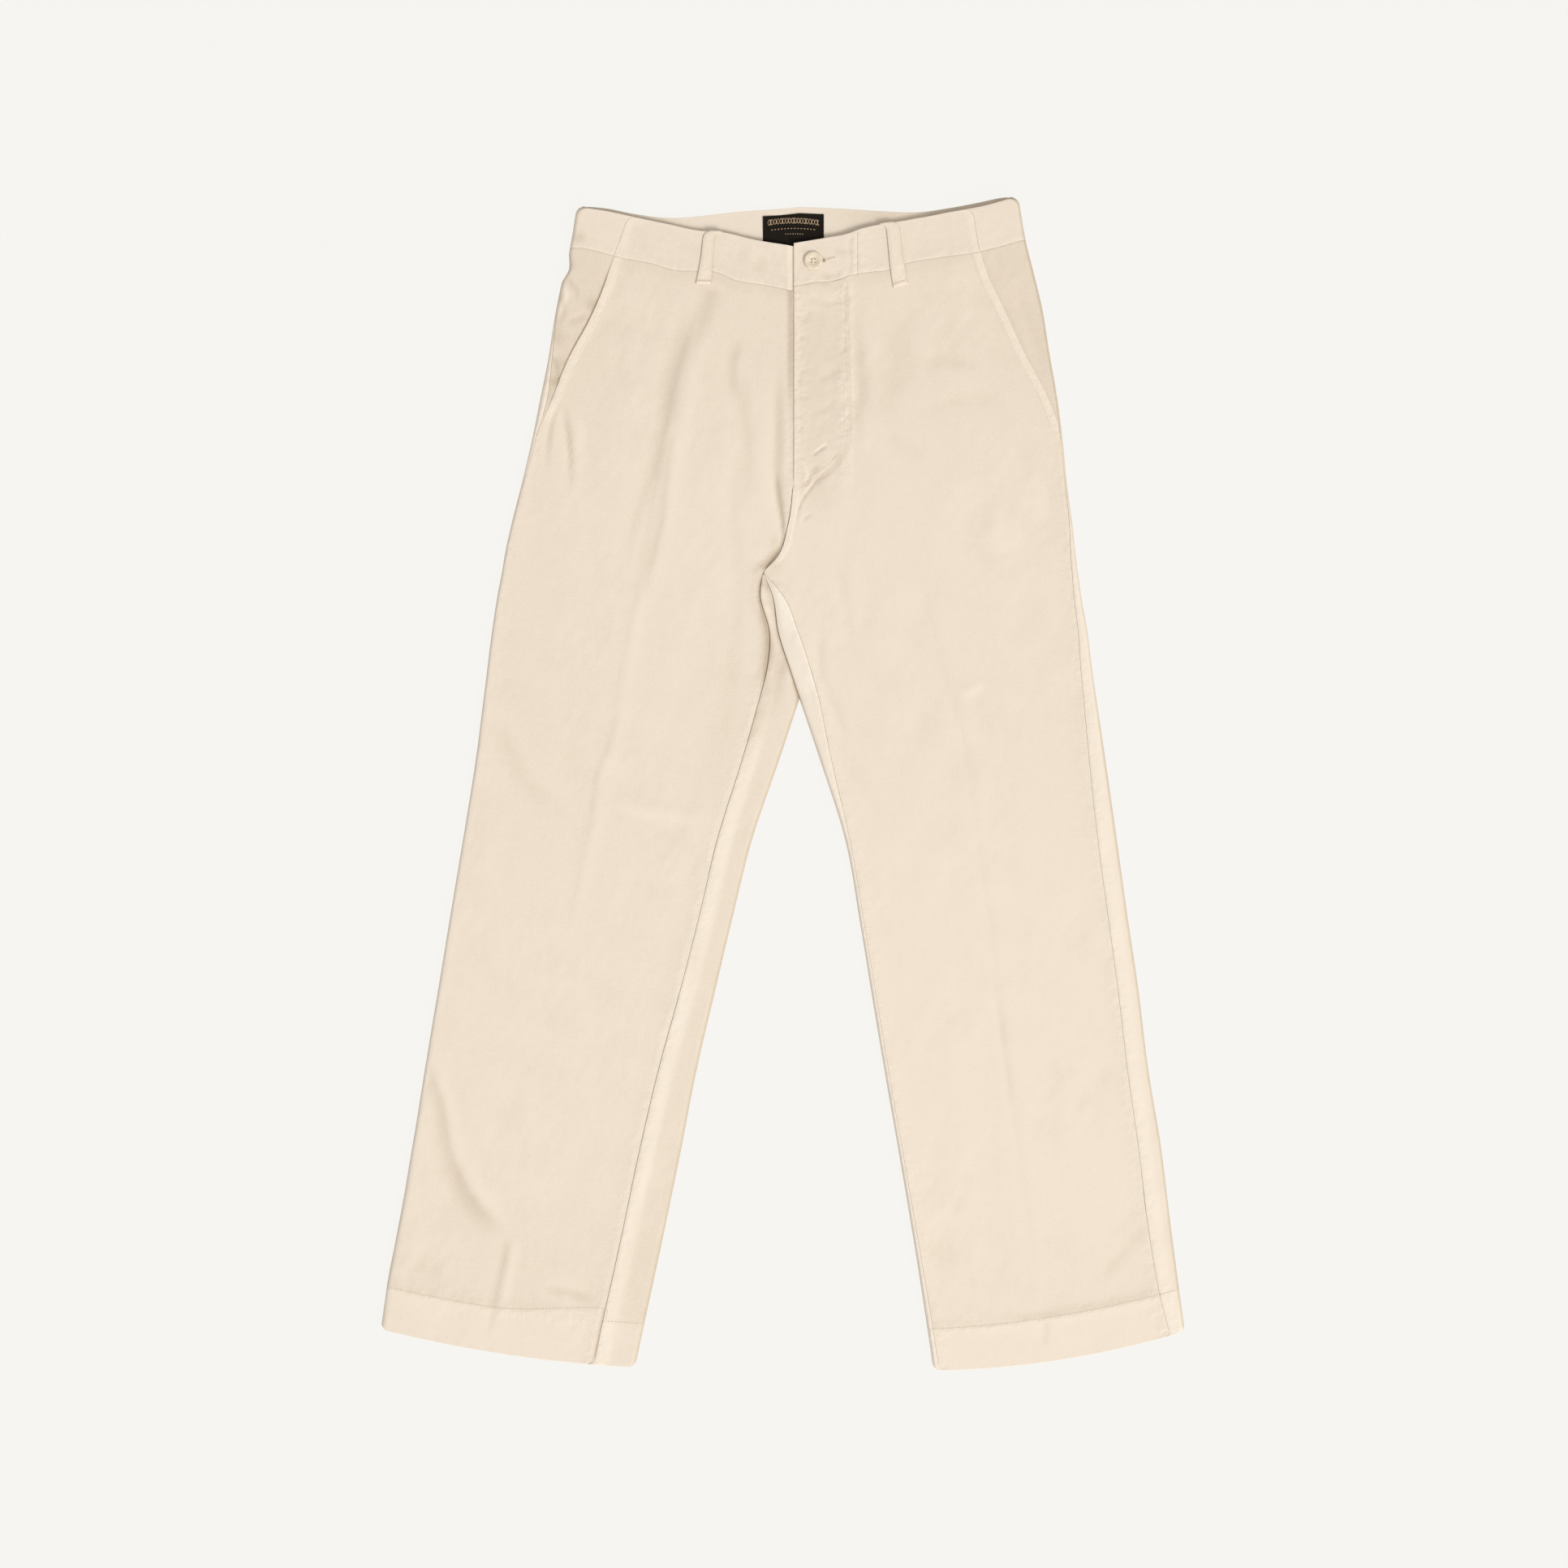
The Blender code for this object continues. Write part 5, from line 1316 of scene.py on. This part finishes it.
bm = bmesh.new()
for side in ("right", "left"):
    surface = surfaceOf(fronts[side], backs[side])
    mouthLine = rowLine(side, 1.05, pocketFoot[side] - 0.1,
                        lambda section: arcOf(section["frontEdge"]) + frontPanel["mouthStitch"])
    for points in (mouthLine, hemLine(side)):
        addRow(bm, surface, points, topstitch)
surface = surfaceOf(fronts["left"])
riseLine = rowLine("left", 7.0, 9.8, lambda section: clothLength(section) - frontPanel["riseStitch"])
for points in (*flyStitch.values(), riseLine):
    addRow(bm, surface, points, fineStitch)
panelStitches = place(meshObject("panelStitches", bm, creamThread), "twill")

bm = bmesh.new()
for name in ("FrontRight", "FrontLeft"):
    leg, under, top, foot, lastAt, *widths = beltLoops[name]
    surface = surfaceOf(loops[name])
    section = sectionsAt(leg, np.linspace(0.03, lastAt * 0.97, 30))
    for across in (-0.33, 0.33):
        along, width = loopPlace(section, section["row"] / lastAt, across, top, foot, *widths)
        addRow(bm, surface, topLine(section, along), fineStitch)
    # the bar tack at the foot
    section = sectionsAt(leg, [lastAt * 0.915])
    for across in np.linspace(-0.36, 0.36, 13):
        along = foot + across * widths[1] - section["pinched"]
        a, b = (topLine(section, along, beyond)[0] for beyond in (-0.9, 0.9))
        addStitch(bm, surface, a, b, 0.28)
loopStitches = place(meshObject("loopStitches", bm, creamThread), "twill")

# generic woven ornament on the label: a plaited band and two broken rules, no letters
ornament = {
    "left": -15.0, "right": 32.5,
    "plait": (518.0, 2.7, 5.4),                        # height, half width, length of a turn
    "rules": ((511.0, 3.0, 0.0), (506.0, 2.2, 13.0)),  # height, dash, inset
}
bm = bmesh.new()
surface = surfaceOf(labelPiece)
spanX = np.linspace(ornament["left"], ornament["right"], 120)
middle, rise, length = ornament["plait"]


def arch(x, rise):
    # the label bows up in its middle
    return rise * (1.0 - ((x - spanX.mean()) / 26.0)**2)


for phase in (0.0, math.pi):
    wave = middle + arch(spanX, 2.6) + rise * np.sin(math.tau * (spanX - spanX[0]) / length + phase)
    points = list(zip(spanX, wave))[::2]
    for a, b in zip(points, points[1:]):
        addStitch(bm, surface, a, b, 0.34, 0.2)
for index, x in enumerate(np.arange(spanX[0] + length / 2, spanX[-1], length)):
    lift = middle + arch(x, 2.6)
    reach = (2.9, 1.9)[index % 2]
    addStitch(bm, surface, (x, lift - reach), (x, lift + reach), 0.55, 0.2)
for height, dash, inset in ornament["rules"]:
    for start in np.arange(ornament["left"] + 3.0 + inset, ornament["right"] - 3.0 - inset, dash):
        lift = height + arch(start, 2.4)
        addStitch(bm, surface, (start, lift), (start + dash * 0.6, lift), 0.42, 0.2)
labelThread = place(meshObject("labelThread", bm, goldThread), "label_cloth")

waistButton = {
    "x": 27.0, "y": 483.0, "radius": 8.4, "height": 1.9, "hole": 0.75, "holeOffset": 1.45,
    # turned outline, as shares of radius and height
    "outline": [(0.0, 0.0), (0.86, 0.0), (0.97, 0.22), (1.0, 0.5), (0.97, 0.8), (0.90, 0.97), (0.82, 1.0),
                (0.72, 0.93), (0.58, 0.84), (0.50, 0.78), (0.46, 0.66), (0.42, 0.55), (0.36, 0.51), (0.0, 0.5)],
}
tabSurface = surfaceOf(bands["tab"])
seat = onSurface(tabSurface, waistButton["x"], waistButton["y"]) + Vector((0.0, 0.0, 0.25 * mm))
bm = bmesh.new()
ring = [bm.verts.new((share * waistButton["radius"], 0.0, rise * waistButton["height"]))
        for share, rise in waistButton["outline"]]
edges = [bm.edges.new(pair) for pair in zip(ring, ring[1:])]
bmesh.ops.spin(bm, geom=ring + edges, cent=(0, 0, 0), axis=(0, 0, 1), angle=math.tau, steps=58, use_merge=True)
bmesh.ops.remove_doubles(bm, verts=bm.verts[:], dist=0.01)
bmesh.ops.recalc_face_normals(bm, faces=bm.faces[:])
bmesh.ops.transform(bm, matrix=Matrix.Translation(seat) @ Matrix.Scale(mm, 4), verts=bm.verts[:])
buttonPiece = meshObject("waistButton", bm)
bm = bmesh.new()
for signX in (-1, 1):
    for signY in (-1, 1):
        made = bmesh.ops.create_cone(bm, cap_ends=True, segments=16, radius1=waistButton["hole"] * mm,
                                     radius2=waistButton["hole"] * mm, depth=0.012)
        offset = seat + Vector((signX, signY, 0.0)) * waistButton["holeOffset"] * mm
        bmesh.ops.translate(bm, vec=offset, verts=made["verts"])
cutter = meshObject("cutter", bm)
drill = buttonPiece.modifiers.new("thread holes", "BOOLEAN")
drill.object = cutter
drill.operation = "DIFFERENCE"
drilled = bpy.data.meshes.new_from_object(buttonPiece.evaluated_get(bpy.context.evaluated_depsgraph_get()))
buttonPiece.modifiers.clear()
buttonPiece.data = drilled
bpy.data.objects.remove(cutter, do_unlink=True)
drilled.materials.clear()
drilled.materials.append(buttonResin)
drilled.shade_smooth()
drilled.set_sharp_from_angle(angle=math.radians(35))
place(buttonPiece, "button_resin", "waist_button")

# thread through the button, and the keyhole buttonhole beside it
buttonhole = {"eye": (36.9, 483.4), "eyeRadius": 1.15, "end": (47.2, 486.2), "halfWidth": 1.3}
bm = bmesh.new()
well = seat + Vector((0.0, 0.0, waistButton["height"] * 0.56 * mm))
for angle in (-45.0, 45.0):
    for across in (-0.28, 0.28):
        move = (Matrix.Translation(well) @ Matrix.Rotation(math.radians(angle), 4, "Z")
                @ Matrix.Translation((0.0, across * mm, 0.0)))
        addThread(bm, (2.3 * mm, 0.36 * mm, 0.5 * mm), move, (8, 6))
eye, tip = np.array(buttonhole["eye"]), np.array(buttonhole["end"])
run = (tip - eye) / np.hypot(*(tip - eye))
sideways = np.array((-run[1], run[0]))
for angle in np.linspace(math.radians(35), math.radians(325), 16):
    out = run * math.cos(angle) + sideways * math.sin(angle)
    addStitch(bm, tabSurface, eye + out * buttonhole["eyeRadius"], eye + out * (buttonhole["eyeRadius"] + 1.5),
              0.30, 0.2)
for share in np.linspace(0.12, 1.0, 16):
    centre = mix(eye, tip, share)
    reach = buttonhole["halfWidth"] * (1.0 - 0.45 * share)
    for sign in (-1, 1):
        addStitch(bm, tabSurface, centre + sign * sideways * 0.15, centre + sign * sideways * reach, 0.30, 0.2)
buttonThread = place(meshObject("buttonThread", bm, creamThread), "twill")

# a dark disc, painted shade inside the buttonhole's eye
bm = bmesh.new()
made = bmesh.ops.create_cone(bm, cap_ends=True, segments=18, radius1=buttonhole["eyeRadius"] * mm,
                             radius2=buttonhole["eyeRadius"] * mm, depth=0.0003)
bmesh.ops.translate(bm, vec=onSurface(tabSurface, *buttonhole["eye"]), verts=made["verts"])
shadedHole = plainMaterial("shadedHole", {
    "dark": (0.30, 0.24, 0.16), "light": (0.42, 0.34, 0.24), "roughness": 0.9, "gloss": 0.1,
    "grain": 500.0, "bump": 0.2})
buttonholeShadeDisc = place(meshObject("buttonholeShadeDisc", bm, shadedHole), "twill")


print("trousers: floor, light and camera")

studio = {
    "floorColour": (0.922, 0.913, 0.880),
    "floorHalf": 6.0,
    "floorGlow": 0.97,          # a lightbox floor, so that shadows on it stay faint
    "sky": 0.62,
    "sunFrom": (2.3, -2.5, 2.8),
    "sunPower": 1.82,
    "sunSpread": 0.38,          # radians: wide, for soft shadows
    "keyPlace": (2.3, -2.7, 2.3),
    "keySize": 1.8,
    "keyPower": 20.0,
    "lens": 85.0,
    "cameraPlace": (0.001, 0.0004, 3.425),
}
paleFloor, tree, shader = newMaterial("paleFloor")
fill(tree, shader, {
    "Base Color": (*((1.0 - studio["floorGlow"]) * part for part in studio["floorColour"]), 1.0),
    "Roughness": 1.0, "Specular IOR Level": 0.0, "Emission Color": (*studio["floorColour"], 1.0),
    "Emission Strength": studio["floorGlow"]})
bm = bmesh.new()
bmesh.ops.create_grid(bm, x_segments=8, y_segments=8, size=studio["floorHalf"])
floor = meshObject("floor", bm, paleFloor)
floor.location.z = -0.0002

world = bpy.data.worlds.new("softbox")
bpy.context.scene.world = world
world.use_nodes = True
fill(world.node_tree, world.node_tree.nodes["Background"],
     {"Color": (1.0, 1.0, 1.0, 1.0), "Strength": studio["sky"]})


def addLight(name, kind, power, towards):
    # a light that points from a place towards the trousers
    data = bpy.data.lights.new(name, kind)
    data.energy = power
    light = bpy.data.objects.new(name, data)
    bpy.context.scene.collection.objects.link(light)
    light.rotation_euler = (-Vector(towards)).to_track_quat("-Z", "Y").to_euler()
    return light


addLight("sun", "SUN", studio["sunPower"], studio["sunFrom"]).data.angle = studio["sunSpread"]
key = addLight("key", "AREA", studio["keyPower"], studio["keyPlace"])
key.data.size = studio["keySize"]
key.location = studio["keyPlace"]

cameraData = bpy.data.cameras.new("camera")
cameraData.lens = studio["lens"]
camera = bpy.data.objects.new("camera", cameraData)
bpy.context.scene.collection.objects.link(camera)
camera.location = studio["cameraPlace"]
bpy.context.scene.camera = camera
bpy.context.scene.view_settings.view_transform = "Standard"
